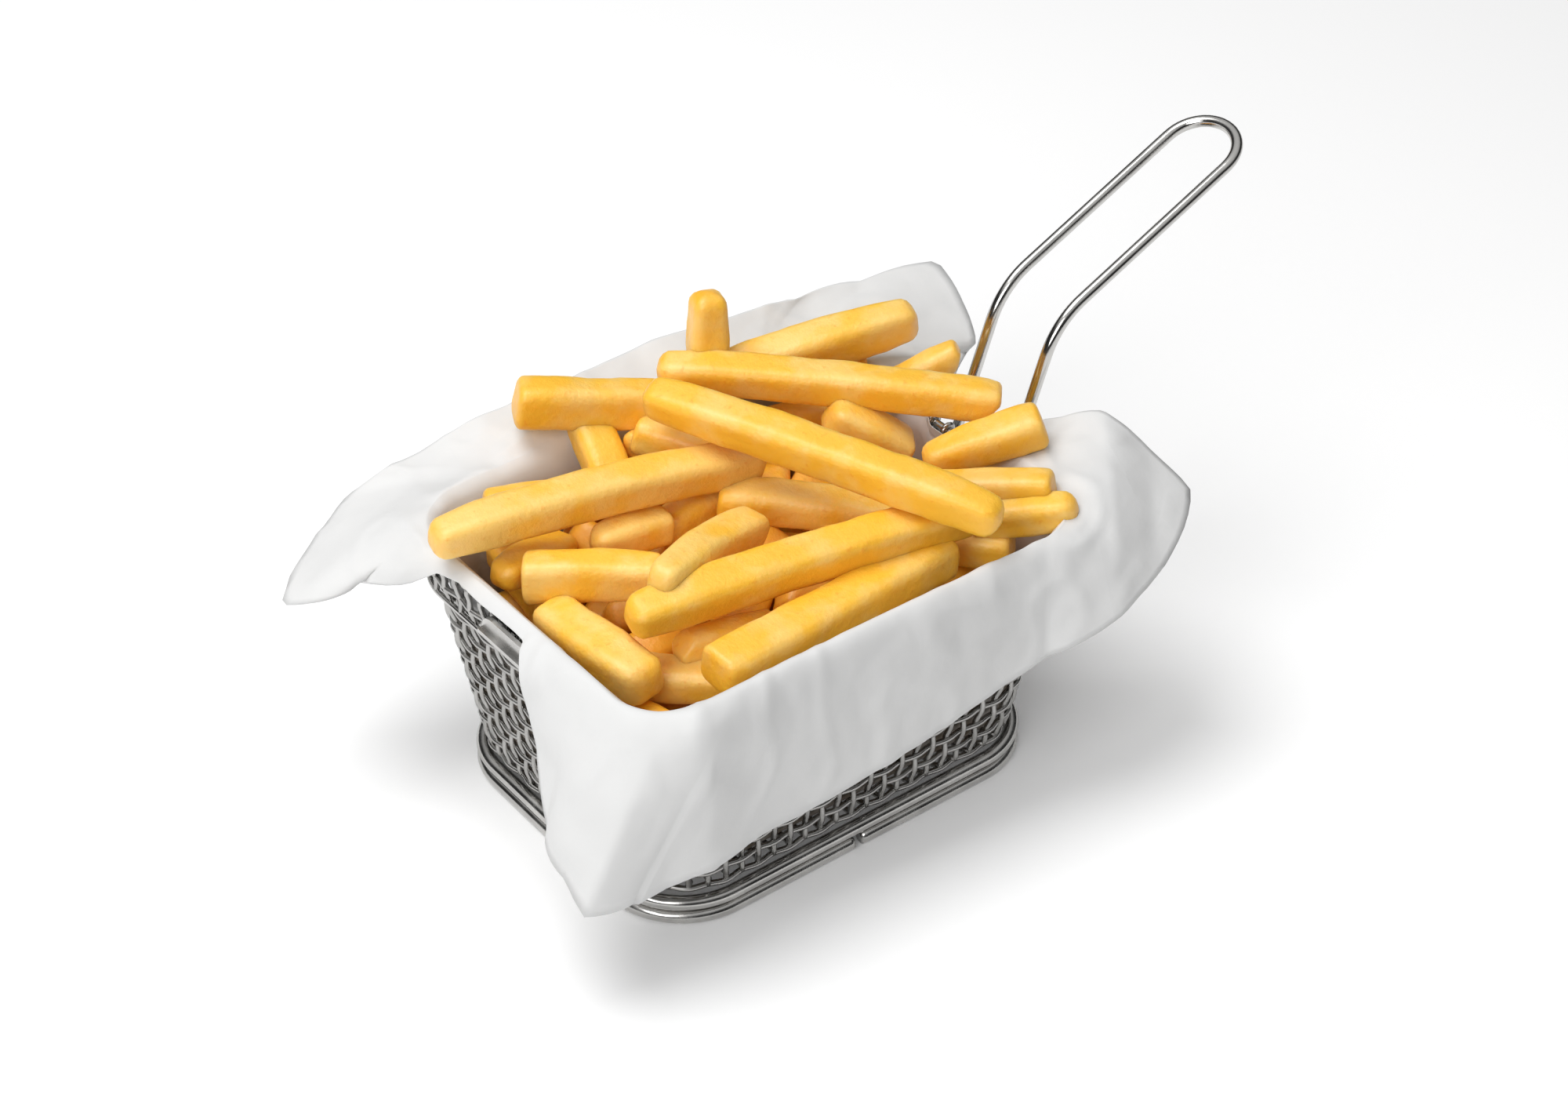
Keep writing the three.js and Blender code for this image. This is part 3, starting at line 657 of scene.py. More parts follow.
class FRIES_OT_rim_wires(bpy.types.Operator):
    """Make the rim wire that the mesh is folded over, and the thin wire along its hem"""

    bl_idname = "fries.rim_wires"
    bl_label = "Rim and hem wires"

    def execute(self, context):
        steel = polished_steel("rim_steel", context.scene.fries_basket, 0.2)
        for piece, node, wire, radius, z in (
                ("rim_ring", "rim_wire", RIM_WIRE, RIM_RADIUS, RIM_Z),
                ("hem_ring", "hem_wire", HEM_WIRE, HEM_RADIUS, HEM_Z)):
            size = node_size(node)
            path = ring_path((size.x - wire) / 2, (size.y - wire) / 2, radius, z)
            part = tube(path, wire / 2, (0, 0, 1), 14, closed=True)
            add_mesh(piece, *part, steel, slot="rim_wire", replaces=[node])
        return {"FINISHED"}


class FRIES_OT_woven_mesh(bpy.types.Operator):
    """Weave the basket: each wire runs down a wall, across the floor and up the other side"""

    bl_idname = "fries.woven_mesh"
    bl_label = "Woven mesh"

    SLOTS = 4                # points of a wire between two crossings
    SIDES = 8
    CRIMP = 0.48             # how far a wire waves to either side, as a share of its radius
    FIRST_ROW = 8.5 * MM
    FOOT = 9.1 * MM          # where a wall's upright wires end and the floor's wires begin
    HEM_ROW = 57.2 * MM
    MIDDLE = 1.0 * MM        # middle of the weave, inwards from the wall's outer face
    RIM_MIDDLE = 0.9 * MM
    HEM_MIDDLE = -0.5 * MM
    TUCK = 0.5 * MM          # how much further in the wires run just below the rim
    FLOOR_TURN = 1.6 * MM    # from the foot of a wall wire in to the floor's edge

    def execute(self, context):
        settings = context.scene.fries_basket
        radius = settings.weave_wire / 2
        self.crimp = radius * self.CRIMP
        self.pitch = settings.weave_pitch
        self.row = settings.weave_row
        girth = on_wall(np.linspace(0, 1, 400), 30 * MM, 0)
        around = np.linalg.norm(np.diff(girth, axis=0), axis=1).sum()
        count = 2 * round(around / self.pitch / 2)
        # The weave gets a darker copy of the same steel: painted shade, as the mesh lies in shade.
        steel = polished_steel("woven_steel", settings, 0.26, light=0.78)
        shares = (np.arange(count) + 0.5) / count
        rows = np.arange(self.FIRST_ROW, self.HEM_ROW - self.row / 2, self.row)
        walls = [self.level_wire(count, k, z, self.MIDDLE, radius) for k, z in enumerate(rows)]
        walls.append(self.level_wire(count, len(rows), self.HEM_ROW, self.HEM_MIDDLE, radius))
        for i, share in enumerate(shares):
            walls.append(self.upright_wire(share, i, radius))
        add_mesh("woven_walls", *join_parts(walls), steel, slot="woven_mesh", replaces=["basket_mesh"])
        floor = self.floor_wires(shares, radius)
        add_mesh("woven_floor", *join_parts(floor), steel, slot="woven_mesh", replaces=["basket_mesh"])
        return {"FINISHED"}

    def level_wire(self, count, k, z, inset, radius):
        share = np.arange(count * self.SLOTS) / (count * self.SLOTS)
        wave = self.crimp * np.cos(np.pi * (share * count - 0.5 + k + 1))
        path = on_wall(share, z, inset - wave)
        return tube(path, radius, (0, 0, 1), self.SIDES, closed=True)

    def upright_wire(self, share, i, radius):
        """From the foot of the wall up, over the rim wire and down to the hem."""
        z = np.arange(self.FOOT, RIM_Z - 2.5 * MM, self.row / self.SLOTS)
        wave = self.crimp * np.cos(np.pi * ((z - self.FIRST_ROW) / self.row + i))
        wave *= smooth_step(z, self.FOOT, self.FOOT + 3 * MM)
        tuck = self.TUCK * smooth_step(z, RIM_Z - 7 * MM, RIM_Z - 1 * MM)
        path = on_wall(share, z, self.MIDDLE - wave + tuck)
        over = np.radians(np.arange(0, 181, 30))
        bend = RIM_WIRE / 2 + radius * 0.7
        top = on_wall(share, RIM_Z + bend * np.sin(over), self.RIM_MIDDLE + bend * np.cos(over))
        z = np.arange(RIM_Z - 1.5 * MM, HEM_Z, -self.row / self.SLOTS)
        wave = self.crimp * np.cos(np.pi * ((z - self.HEM_ROW) / self.row + i))
        down = on_wall(share, z, self.HEM_MIDDLE - wave * smooth_step(RIM_Z - z, 1 * MM, 4 * MM))
        path = np.concatenate([path, top, down])
        _, along = wall_outward(share, 30 * MM)
        return tube(path, radius, along, self.SIDES)

    def floor_wires(self, shares, radius):
        """The floor's wires join the foot of one wall wire to the one across from it."""
        z = FLOOR_Z + radius * 1.7
        feet = on_wall(shares, self.FOOT, self.MIDDLE)
        edge = on_wall(shares, z, self.MIDDLE + self.FLOOR_TURN)
        parts = []
        for i, foot in enumerate(feet):
            # Wires from the two ends run along X, and those from the long sides along Y.
            to_x = abs(abs(foot[0]) - WALL_X) < abs(abs(foot[1]) - WALL_Y)
            axis = 0 if to_x else 1
            if foot[axis] > 0:
                continue
            start = edge[i, axis]
            stop = -start
            steps = np.arange(start, stop, self.pitch / self.SLOTS)
            path = np.zeros((len(steps), 3))
            path[:, axis] = steps
            path[:, 1 - axis] = edge[i, 1 - axis]
            fade = smooth_step(np.minimum(steps - start, stop - steps), 0, 4 * MM)
            sign = 1 if to_x else -1
            path[:, 2] = z + sign * self.crimp * fade * np.cos(np.pi * (steps / self.pitch + i))
            end = path[-1].copy()
            end[axis] = stop
            other_foot = foot.copy()
            other_foot[axis] *= -1
            path = np.concatenate([[foot], path, [end], [other_foot]])
            side = np.zeros(3)
            side[1 - axis] = 1.0
            parts.append(tube(path, radius, side, self.SIDES))
        return parts


class FRIES_OT_hanging_bar(bpy.types.Operator):
    """Finish the flat hanging bar: soften its edges and give it satin steel"""

    bl_idname = "fries.hanging_bar"
    bl_label = "Hanging bar"

    def execute(self, context):
        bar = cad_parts["hanging_bar"]
        bar.data.materials.clear()
        bar.data.materials.append(polished_steel("bar_steel", context.scene.fries_basket, 0.3))
        bevel = bar.modifiers.new("soft_edges", "BEVEL")
        bevel.width = 0.18 * MM
        bevel.segments = 2
        bevel.limit_method = "ANGLE"
        return {"FINISHED"}


# ---- paper -------------------------------------------------------------------------------------


def hem_values(share):
    """The rows of PAPER_HEM at any share: the fold swells smoothly, the hem runs straight."""
    rows = np.array(PAPER_HEM)
    rows = np.concatenate([rows[-1:] - [1, 0, 0, 0, 0], rows, rows[:1] + [1, 0, 0, 0, 0]])
    s = share % 1.0
    i = np.searchsorted(rows[:, 0], s, side="right") - 1
    part = (s - rows[i, 0]) / (rows[i + 1, 0] - rows[i, 0])
    fold = rows[i, 1] + (rows[i + 1, 1] - rows[i, 1]) * smooth_step(part, 0, 1)
    hem = rows[i, 2:] + (rows[i + 1, 2:] - rows[i, 2:]) * part[:, None]
    return fold * MM, hem * MM


WALL_LEVELS = (14, 20, 26, 32, 38, 44, 50, 55)      # millimetres above the table
FLAP_ROWS = 29


def paper_profile(share):
    """Rows of points of the paper: across the floor, up the wall, over the rim and down to the hem."""
    fold, hem = hem_values(share)
    crest_z = RIM_TOP + fold
    lift = np.clip(fold / (3 * MM), 0, 1)
    crest = on_wall(share, crest_z, PAPER_INSET - 0.9 * MM * lift)
    outward, along = wall_outward(share, crest_z)
    end = crest + outward * hem[:, :1] + along * hem[:, 1:2]
    end[:, 2] += hem[:, 2]
    reach = np.linalg.norm(hem, axis=1)
    shoulder = crest + outward * np.minimum(6.5 * MM * lift, 0.4 * reach)[:, None]
    shoulder[:, 2] += np.maximum(hem[:, 2] * 0.06, -1 * MM)
    inside = (lift <= 0)[:, None]
    shoulder = np.where(inside, (crest + end) / 2, shoulder)
    rows = [
        np.tile([0.0, 0.0, PAPER_FLOOR], (len(share), 1)),
        on_wall(share, PAPER_FLOOR, 30 * MM),
        on_wall(share, PAPER_FLOOR, 15 * MM),
        on_wall(share, PAPER_FLOOR, PAPER_INSET + 3 * MM),
        on_wall(share, PAPER_FLOOR + 0.9 * MM, PAPER_INSET + 1.0 * MM),
        on_wall(share, PAPER_FLOOR + 3 * MM, PAPER_INSET + 0.3 * MM)]
    for level in WALL_LEVELS:
        rows.append(on_wall(share, level * MM, PAPER_INSET))
    # Just below the crest the paper keeps clear of the wires that turn over the rim.
    under_rim = np.minimum(59 * MM, crest_z - 3 * MM)
    rows.append(on_wall(share, under_rim, PAPER_INSET + 0.7 * MM))
    over_rim = np.minimum(RIM_TOP + 1 * MM, crest_z - 1 * MM)
    rows.append(on_wall(share, over_rim, PAPER_INSET + 0.6 * MM * lift))
    for t in np.linspace(0, 1, FLAP_ROWS):
        rows.append(crest * (1 - t) ** 2 + shoulder * 2 * t * (1 - t) + end * t ** 2)
    return np.stack(rows)


# Sharp creases in the flaps. Each row, in millimetres: x and y of the two ends, half the width of the
# raised strip, and its height.
CREASES = [
    (84, -22, 58, -54, 11, 2.4), (92, 4, 66, 26, 10, 1.6), (-62, 10, -84, 26, 9, 1.4),
    (-46, -46, -54, -60, 9, 1.6), (-20, 46, -34, 66, 12, 1.8), (38, 46, 52, 62, 10, 1.6),
]


def creases(points):
    """Height of the sharp creases at each point, in metres."""
    heights = np.zeros(len(points))
    for x0, y0, x1, y1, width, height in CREASES:
        run = np.array([x1 - x0, y1 - y0], float)
        length = np.linalg.norm(run)
        run /= length
        away = points[:, :2] / MM - [x0, y0]
        along = away @ run
        aside = np.abs(away @ np.array([-run[1], run[0]]))
        ends = smooth_step(along, -8.0, 4.0) * (1 - smooth_step(along, length - 4.0, length + 8.0))
        heights += height * MM * np.clip(1 - aside / width, 0, 1) * ends
    return heights


def wrinkles(points):
    """Height of the paper's soft folds and small creases at each point, as a share of their depth."""
    heights = np.zeros(len(points))
    for i, point in enumerate(points):
        p = Vector(point)
        soft = noise.noise(p * 42)
        crease = 1 - abs(noise.noise(p * 60 + Vector((7.1, 3.3, 1.7)))) * 5
        nearest, second = noise.voronoi(p * 55)[0][:2]
        fine = noise.noise(p * 210)
        heights[i] = soft * 0.75 + max(crease, 0) * 0.25 + (second - nearest) * 0.55 + fine * 0.10
    return heights


class FRIES_OT_paper_liner(bpy.types.Operator):
    """Lay the sheet of greaseproof paper in the basket, its flaps folded over the rim"""

    bl_idname = "fries.paper_liner"
    bl_label = "Paper liner"

    COLUMNS = 440
    FLOOR_ROWS = 4
    FLAP_START = 17          # the first row of points beyond the crest
    LOOSE_HEM = 14 * MM      # a hem that reaches this far from the fold wrinkles fully

    def execute(self, context):
        settings = context.scene.fries_paper
        share = np.arange(self.COLUMNS) / self.COLUMNS
        grid = paper_profile(share)
        rows, columns = grid.shape[:2]
        across = unit(np.roll(grid, -1, 1) - np.roll(grid, 1, 1))
        down = unit(np.gradient(grid, axis=0))
        facing = unit(np.cross(down, across))
        facing[0] = (0, 0, 1)
        loose = np.clip((np.arange(rows) - self.FLAP_START + 5) / 6, 0.12, 1)
        loose[:self.FLOOR_ROWS] = 0.0
        _, hem = hem_values(share)
        reach = np.clip(np.linalg.norm(hem, axis=1) / self.LOOSE_HEM, 0.2, 1)
        depth = (loose[:, None] * reach * settings.wrinkle).ravel()
        heights = wrinkles(grid.reshape(-1, 3)) * depth
        flaps = np.repeat(np.clip((np.arange(rows) - self.FLAP_START) / 6, 0, 1), columns)
        heights += creases(grid.reshape(-1, 3)) * flaps
        grid = grid + (facing.reshape(-1, 3) * heights[:, None]).reshape(grid.shape)
        points = np.concatenate([grid[0, :1], grid[1:].reshape(-1, 3)])
        faces = [(0, 1 + k, 1 + (k + 1) % columns) for k in range(columns)]
        faces += ring_faces(rows - 1, columns, first=1, turned=True)
        paper = add_mesh(
            "paper_sheet", points, faces, greaseproof_paper(settings), slot="paper",
            replaces=["paper_liner"])
        # Darker towards the bottom inside the basket: partly a grease stain, partly painted shade behind
        # the mesh.
        grease = 1 - smooth_step(grid[..., 2], RIM_Z - 24 * MM, RIM_Z - 4 * MM)
        grease[self.FLAP_START:] = 0.0
        add_values(paper, grease=np.concatenate([grease[0, :1], grease[1:].ravel()]))
        shell = paper.modifiers.new("thickness", "SOLIDIFY")
        shell.thickness = settings.thickness
        shell.offset = 0
        return {"FINISHED"}


# ---- fries -------------------------------------------------------------------------------------

# Each kind of end: how far its edge is rounded, the share it narrows to and over what length, and
# its slant.
END_SHAPES = {
    "flat": (1.5 * MM, 0.97, 5 * MM, 0.12),
    "slant": (1.3 * MM, 0.90, 8 * MM, 0.75),
    "round": (3.4 * MM, 0.86, 11 * MM, 0.10),
}
SPOKES = 28              # points round a fry
RING_STEP = 2.4 * MM     # between the rings of points along its body
SLANT_REACH = 9 * MM     # how far from its tip a fry's slanted end begins
BROWN_REACH = 3.2 * MM   # how far from its tip a fry is browned more


def end_rings(length, half, shape):
    """How far from the middle the rings at one end lie, and their widths, from the body outwards."""
    rounding, narrow, over, _ = END_SHAPES[shape]
    over = min(over, length * 0.3)
    run = np.array([0.0, 0.25, 0.5, 0.75])
    turns = np.radians([0, 22, 45, 68, 90])
    at = np.concatenate([
        length / 2 - rounding - over * (1 - run),
        length / 2 - rounding * (1 - np.sin(turns)),
        length / 2 + np.array([0.05, 0.1]) * MM])
    edge = (1 - rounding / half * (1 - np.cos(turns))) * narrow
    size = np.concatenate([1 - (1 - narrow) * run ** 1.5, edge, edge[-1] * np.array([0.75, 0.35])])
    return at, size


def fry_rings(length, half, start, finish):
    """Where a fry's rings lie along it, from one end to the other, and their widths."""
    low, low_size = end_rings(length, half, start)
    high, high_size = end_rings(length, half, finish)
    steps = max(2, int((high[0] + low[0]) / RING_STEP)) + 1
    body = np.linspace(-low[0], high[0], steps)[1:-1]
    at = np.concatenate([-low[::-1], body, high])
    size = np.concatenate([low_size[::-1], np.ones(len(body)), high_size])
    return at, size


def end_slant(shape, chance):
    """How much an end leans over the fry's height and over its width."""
    slant = END_SHAPES[shape][3]
    turn = chance.choice([-1, 1]) if shape == "slant" else chance.uniform(-1, 1)
    return slant * turn, slant * 0.6 * chance.uniform(-1, 1)


def skin_bumps(points, chance):
    """Soft bumps of the skin at each point, from about -1 to 1."""
    seed = Vector(chance.uniform(-9, 9, 3))
    bumps = [
        noise.noise(Vector(p) * 130 + seed) + 0.45 * noise.noise(Vector(p) * 420 + seed)
        for p in points.reshape(-1, 3)]
    return np.array(bumps).reshape(points.shape[:2])


def pointing(heading, tilt):
    """The rotation that turns +X to a heading and a tilt in degrees."""
    heading = math.radians(heading)
    tilt = math.radians(tilt)
    along = (math.cos(heading) * math.cos(tilt), math.sin(heading) * math.cos(tilt), math.sin(tilt))
    aside = (-math.sin(heading), math.cos(heading), 0.0)
    up = (-math.cos(heading) * math.sin(tilt), -math.sin(heading) * math.sin(tilt), math.cos(tilt))
    return np.array([along, aside, up]).T


def one_fry(settings, row, chance):
    """A fry's points, faces and two values for each point: how browned it is, and its own tone, paler
    along its rounded edges as a painted highlight.
    """
    x, y, z, heading, tilt, length, bow, thick, roll, start, finish = row
    length = length * MM
    half = settings.cut * thick / 2
    spokes = np.arange(SPOKES) / SPOKES
    outline = np.stack(on_outline(spokes, 1.0, 1.0, settings.rounding / half), axis=1)
    corner = smooth_step(np.hypot(outline[:, 0], outline[:, 1]), 1.02, 1.28)
    at, size = fry_rings(length, half, start, finish)
    part = at / (length / 2)
    start_slant = end_slant(start, chance)
    finish_slant = end_slant(finish, chance)

    width = size * (1 + chance.uniform(-0.05, 0.05) * part)
    flatness = 1 + chance.uniform(-0.07, 0.07)
    twist = np.radians(roll + chance.uniform(-7, 7) * part)[:, None]
    flat_y = outline[None, :, 0] * half * flatness * width[:, None]
    flat_z = outline[None, :, 1] * half / flatness * width[:, None]
    turned_y = flat_y * np.cos(twist) - flat_z * np.sin(twist)
    turned_z = flat_y * np.sin(twist) + flat_z * np.cos(twist)

    near_end = np.clip(1 - (length / 2 - np.abs(at)) / SLANT_REACH, 0, 1)
    lean_z = np.where(at > 0, finish_slant[0], start_slant[0]) * near_end
    lean_y = np.where(at > 0, finish_slant[1], start_slant[1]) * near_end
    slant = turned_z * lean_z[:, None] + turned_y * lean_y[:, None]
    # A slant only cuts an end back, so that the fry keeps its length.
    cut_back = np.where(at[:, None] > 0, np.minimum(slant, 0), np.maximum(slant, 0))
    lift = bow * MM * (1 - part ** 2)
    sway = chance.uniform(-0.7, 0.7) * MM * (1 - part ** 2)
    points = np.stack(
        [at[:, None] + cut_back, turned_y + sway[:, None], turned_z + lift[:, None]], axis=-1)

    bumps = skin_bumps(points, chance)
    away = unit(points - points.mean(1, keepdims=True))
    height = bumps * np.clip(size, 0.3, 1)[:, None] * settings.uneven
    points = points + away * height[..., None]

    tip = np.clip(1 - (length / 2 - np.abs(at)) / BROWN_REACH, 0, 1)
    browned = np.clip(0.06 * corner[None, :] + 0.34 * tip[:, None] ** 1.5 + 0.10 * bumps, 0, 1)
    # The rounded edges are made paler: a painted highlight.
    tone = chance.uniform(-0.4, 0.7) + 0.35 * corner[None, :] + np.zeros(browned.shape)

    faces = ring_faces(len(at), SPOKES, turned=True)
    faces.append(tuple(range(SPOKES)))
    faces.append(tuple(range((len(at) - 1) * SPOKES, len(at) * SPOKES))[::-1])
    placed = points.reshape(-1, 3) @ pointing(heading, tilt).T + np.array([x, y, z]) * MM
    return placed, faces, browned.ravel(), tone.ravel()


# Where the fries that fill the heap may lie, in millimetres: their middle line stays inside a
# rounded rectangle and between two levels, and clear of every other fry's middle line.
FILL_X = 50.5
FILL_Y = 38.5
FILL_RADIUS = 8.0
FILL_BOTTOM = 46.0
FILL_TOP = 57.0
FILL_STEP = 1.5
FRY_SPACE = 8.3


def middle_line(row, step=3.0):
    """Points down the middle of a fry, in millimetres."""
    x, y, z, heading, tilt, length = row[:6]
    reach = max(length / 2 - 4.0, 0.5)
    along = np.linspace(-reach, reach, int(2 * reach / step) + 2)
    return np.array([x, y, z]) + along[:, None] * pointing(heading, tilt)[:, 0]


def fits_between_walls(points):
    """Whether a fry's middle line stays inside the rounded rectangle."""
    past_x = np.maximum(np.abs(points[:, 0]) - FILL_X + FILL_RADIUS, 0)
    past_y = np.maximum(np.abs(points[:, 1]) - FILL_Y + FILL_RADIUS, 0)
    return (np.hypot(past_x, past_y) <= FILL_RADIUS).all()


def lowest_place(points, taken):
    """The lowest level where a fry touches no other, or None if it would stand out too high."""
    for level in np.arange(FILL_BOTTOM, FILL_TOP, FILL_STEP):
        placed = points + [0, 0, level]
        gaps = np.linalg.norm(placed[:, None] - taken[None], axis=2)
        if gaps.min() > FRY_SPACE:
            return level if placed[:, 2].max() < FILL_TOP else None
    return None


def filling(settings):
    """Rows like those of FRIES for the fries under them, tried at random places."""
    chance = np.random.RandomState(settings.seed)
    taken = np.concatenate([middle_line(row) for row in FRIES])
    rows = []
    for _ in range(settings.tries):
        length = chance.uniform(18, 56)
        heading = chance.uniform(-100, 80)
        tilt = chance.uniform(-14, 14)
        x = chance.uniform(-48, 48)
        y = chance.uniform(-36, 36)
        points = middle_line((x, y, 0.0, heading, tilt, length))
        if not fits_between_walls(points):
            continue
        level = lowest_place(points, taken)
        if level is None:
            continue
        taken = np.concatenate([taken, points + [0, 0, level]])
        thick = chance.uniform(0.92, 1.03)
        roll = chance.uniform(0, 40)
        start = chance.choice(["flat", "slant", "round"])
        finish = chance.choice(["flat", "round"])
        rows.append((x, y, level, heading, tilt, length, 0.0, thick, roll, start, finish))
    return rows


class FRIES_OT_fries(bpy.types.Operator):
    """Make the fries that show and the ones that fill the heap below them"""

    bl_idname = "fries.fries"
    bl_label = "Fries"

    FILLING_SHADE = 0.45   # painted shade: how much browner and less pale the fries in the heap are than those on top

    def execute(self, context):
        settings = context.scene.fries_food
        chance = np.random.RandomState(settings.seed)
        potato = fried_potato(settings)
        for name, rows, more in (
                ("fries_on_top", FRIES, 0.0),
                ("fries_in_the_heap", filling(settings), self.FILLING_SHADE)):
            made = [one_fry(settings, row, chance) for row in rows]
            points, faces = join_parts([(fry[0], fry[1]) for fry in made])
            piece = add_mesh(name, points, faces, potato, slot="fried_potato", replaces=["fries_heap"])
            # The heap's fries are coloured browner and less pale: painted shade deep in the heap.
            add_values(
                piece,
                browned=np.concatenate([fry[2] for fry in made]) + more,
                tone=np.concatenate([fry[3] for fry in made]) - more)
        return {"FINISHED"}


class FRIES_OT_core(bpy.types.Operator):
    """Make the core of the heap, which shows only deep between the fries"""

    bl_idname = "fries.core"
    bl_label = "Core of the heap"

    COLUMNS = 160
    FLOOR = PAPER_FLOOR + 0.6 * MM
    # The rings from the floor to the top: in from the wall's outer face, and above the table.
    RINGS = [
        (24 * MM, FLOOR), (8 * MM, FLOOR), (4.6 * MM, FLOOR + 3.4 * MM), (4.2 * MM, 20 * MM),
        (4.2 * MM, 27 * MM), (4.2 * MM, 33 * MM), (5 * MM, 38 * MM), (8 * MM, 41 * MM),
        (14 * MM, 42.5 * MM), (20 * MM, 43 * MM), (28 * MM, 43.5 * MM), (34 * MM, 44 * MM)]
    LUMPY_FROM = 6           # the first ring that is lumpy
    LUMPS = 3 * MM

    def execute(self, context):
        settings = context.scene.fries_food
        share = np.arange(self.COLUMNS) / self.COLUMNS
        rings = [on_wall(share, z, inset) for inset, z in self.RINGS]
        for ring in rings[self.LUMPY_FROM:]:
            ring[:, 2] += self.lumps(ring)
        under = np.array([[0.0, 0.0, self.FLOOR]])
        top = np.array([[0.0, 0.0, self.RINGS[-1][1]]])
        top[:, 2] += self.lumps(top)
        points = np.concatenate([under, *rings, top])
        last = len(points) - 1
        edge = last - self.COLUMNS
        faces = [(0, 1 + (k + 1) % self.COLUMNS, 1 + k) for k in range(self.COLUMNS)]
        faces += ring_faces(len(rings), self.COLUMNS, first=1)
        faces += [(edge + k, edge + (k + 1) % self.COLUMNS, last) for k in range(self.COLUMNS)]
        # The core is coloured darker and browner than the fries: painted shade, as it shows only deep
        # between them.
        potato = fried_potato(settings, "fried_potato_core", 0.75)
        core = add_mesh("heap_core", points, faces, potato, slot="fried_potato", replaces=["fries_heap"])
        add_values(core, browned=np.full(len(points), 0.7), tone=np.zeros(len(points)))
        return {"FINISHED"}

    def lumps(self, points):
        """Heights of the core's lumps at some points."""
        places = [Vector(p) for p in points]
        return np.array([noise.noise(p * 70) + 0.5 * noise.noise(p * 190) for p in places]) * self.LUMPS


# ---- stage -------------------------------------------------------------------------------------


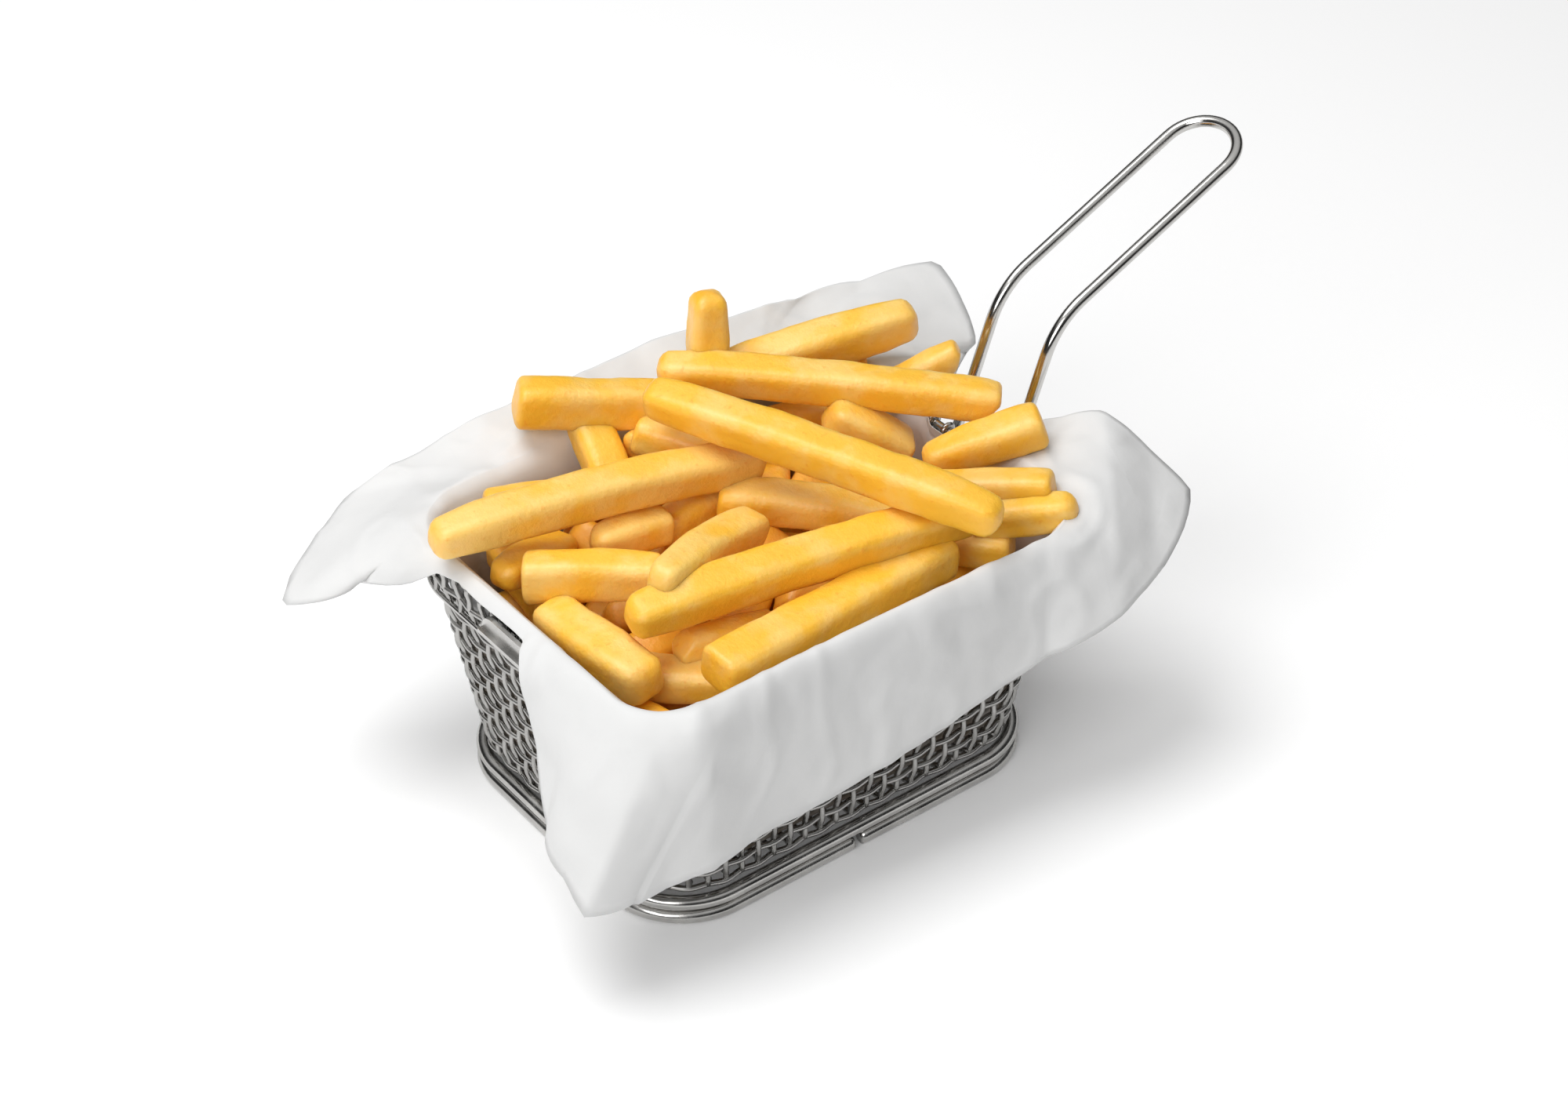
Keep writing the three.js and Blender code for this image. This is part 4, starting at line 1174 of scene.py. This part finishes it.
class FRIES_OT_stage(bpy.types.Operator):
    """Set the pale floor, the soft light and the camera"""

    bl_idname = "fries.stage"
    bl_label = "Stage"

    # From the basket's middle: the middle of the view, then the lights' places from there.
    VIEW = Vector((28.1 * MM, 23.2 * MM, 30 * MM))
    KEY = Vector((-0.28, 0.18, 1.05))
    FRONT = Vector((-1.0, -0.5, 0.72))
    # The room's light at each height, from straight below (0) to straight above (1).
    ROOM = [(0.0, 0.06), (0.49, 0.08), (0.68, 1.1), (1.0, 1.6)]
    FLOOR_REACH = 40.0

    def execute(self, context):
        settings = context.scene.fries_stage
        scene = context.scene
        scene.view_settings.view_transform = "Standard"
        self.add_floor()
        self.add_world(scene, settings)
        middle = Vector(CENTRE) + self.VIEW
        self.add_light("key_light", self.KEY, middle, 0.7, settings.key)
        self.add_light("front_light", self.FRONT, middle, 0.8, settings.key)
        self.add_camera(scene, settings, middle)
        return {"FINISHED"}

    def add_floor(self):
        mesh = bpy.data.meshes.new("plain_floor")
        far = self.FLOOR_REACH
        corners = [(-far, -far, 0), (far, -far, 0), (far, far, 0), (-far, far, 0)]
        mesh.from_pydata(corners, [], [(0, 1, 2, 3)])
        floor = bpy.data.objects.new("plain_floor", mesh)
        bpy.context.scene.collection.objects.link(floor)
        mesh.materials.append(plain_floor())

    def add_world(self, scene, settings):
        """Even light that is brightest overhead and darkest near the horizon."""
        world = bpy.data.worlds.new("soft_room")
        world.use_nodes = True
        scene.world = world
        tree = world.node_tree
        background = tree.nodes["Background"]
        place = tree.nodes.new("ShaderNodeTexCoord")
        split = tree.nodes.new("ShaderNodeSeparateXYZ")
        ramp = tree.nodes.new("ShaderNodeValToRGB")
        stops = ramp.color_ramp.elements
        for height, _ in self.ROOM[1:-1]:
            stops.new(height)
        for stop, (_, light) in zip(stops, self.ROOM):
            stop.color = (light, light, light, 1)
        tree.links.new(place.outputs["Generated"], split.inputs[0])
        tree.links.new(split.outputs["Z"], ramp.inputs[0])
        tree.links.new(ramp.outputs[0], background.inputs["Color"])
        background.inputs["Strength"].default_value = settings.fill

    def add_light(self, name, offset, target, size, power):
        light = bpy.data.lights.new(name, "AREA")
        light.shape = "DISK"
        light.size = size
        light.energy = power
        lamp = bpy.data.objects.new(name, light)
        bpy.context.scene.collection.objects.link(lamp)
        lamp.location = target + offset
        lamp.rotation_euler = (-offset).to_track_quat("-Z", "Y").to_euler()

    def add_camera(self, scene, settings, middle):
        camera = bpy.data.cameras.new("camera")
        camera.lens = settings.lens
        camera.sensor_width = 36.0
        camera.sensor_fit = "HORIZONTAL"
        camera.clip_start = 0.01
        viewer = bpy.data.objects.new("camera", camera)
        scene.collection.objects.link(viewer)
        a = settings.azimuth
        e = settings.elevation
        back = Vector((math.sin(a) * math.cos(e), -math.cos(a) * math.cos(e), math.sin(e)))
        viewer.location = middle + back * settings.distance
        viewer.rotation_euler = (-back).to_track_quat("-Z", "Y").to_euler()
        scene.camera = viewer


# ---- the add-on --------------------------------------------------------------------------------

SETTINGS = {
    "fries_basket": BasketSettings,
    "fries_paper": PaperSettings,
    "fries_food": FriesSettings,
    "fries_stage": StageSettings,
}
OPERATORS = (
    FRIES_OT_base_wires,
    FRIES_OT_rim_wires,
    FRIES_OT_woven_mesh,
    FRIES_OT_hanging_bar,
    FRIES_OT_handle,
    FRIES_OT_paper_liner,
    FRIES_OT_core,
    FRIES_OT_fries,
    FRIES_OT_stage,
)


class FRIES_PT_panel(bpy.types.Panel):
    """The pieces and their settings, in the sidebar"""

    bl_idname = "FRIES_PT_panel"
    bl_label = "Fries in a Wire Basket"
    bl_space_type = "VIEW_3D"
    bl_region_type = "UI"
    bl_category = "Fries"

    def draw(self, context):
        for name, kind in SETTINGS.items():
            box = self.layout.box()
            box.label(text=kind.__doc__)
            for prop in kind.__annotations__:
                box.prop(getattr(context.scene, name), prop)
        for operator in OPERATORS:
            self.layout.operator(operator.bl_idname)


def register():
    for name, kind in SETTINGS.items():
        bpy.utils.register_class(kind)
        setattr(bpy.types.Scene, name, PointerProperty(type=kind))
    for operator in OPERATORS:
        bpy.utils.register_class(operator)
    bpy.utils.register_class(FRIES_PT_panel)


def unregister():
    bpy.utils.unregister_class(FRIES_PT_panel)
    for operator in reversed(OPERATORS):
        bpy.utils.unregister_class(operator)
    for name, kind in SETTINGS.items():
        delattr(bpy.types.Scene, name)
        bpy.utils.unregister_class(kind)


def main():
    register()
    for operator in OPERATORS:
        group, name = operator.bl_idname.split(".")
        getattr(getattr(bpy.ops, group), name)()


if __name__ == "__main__":
    main()
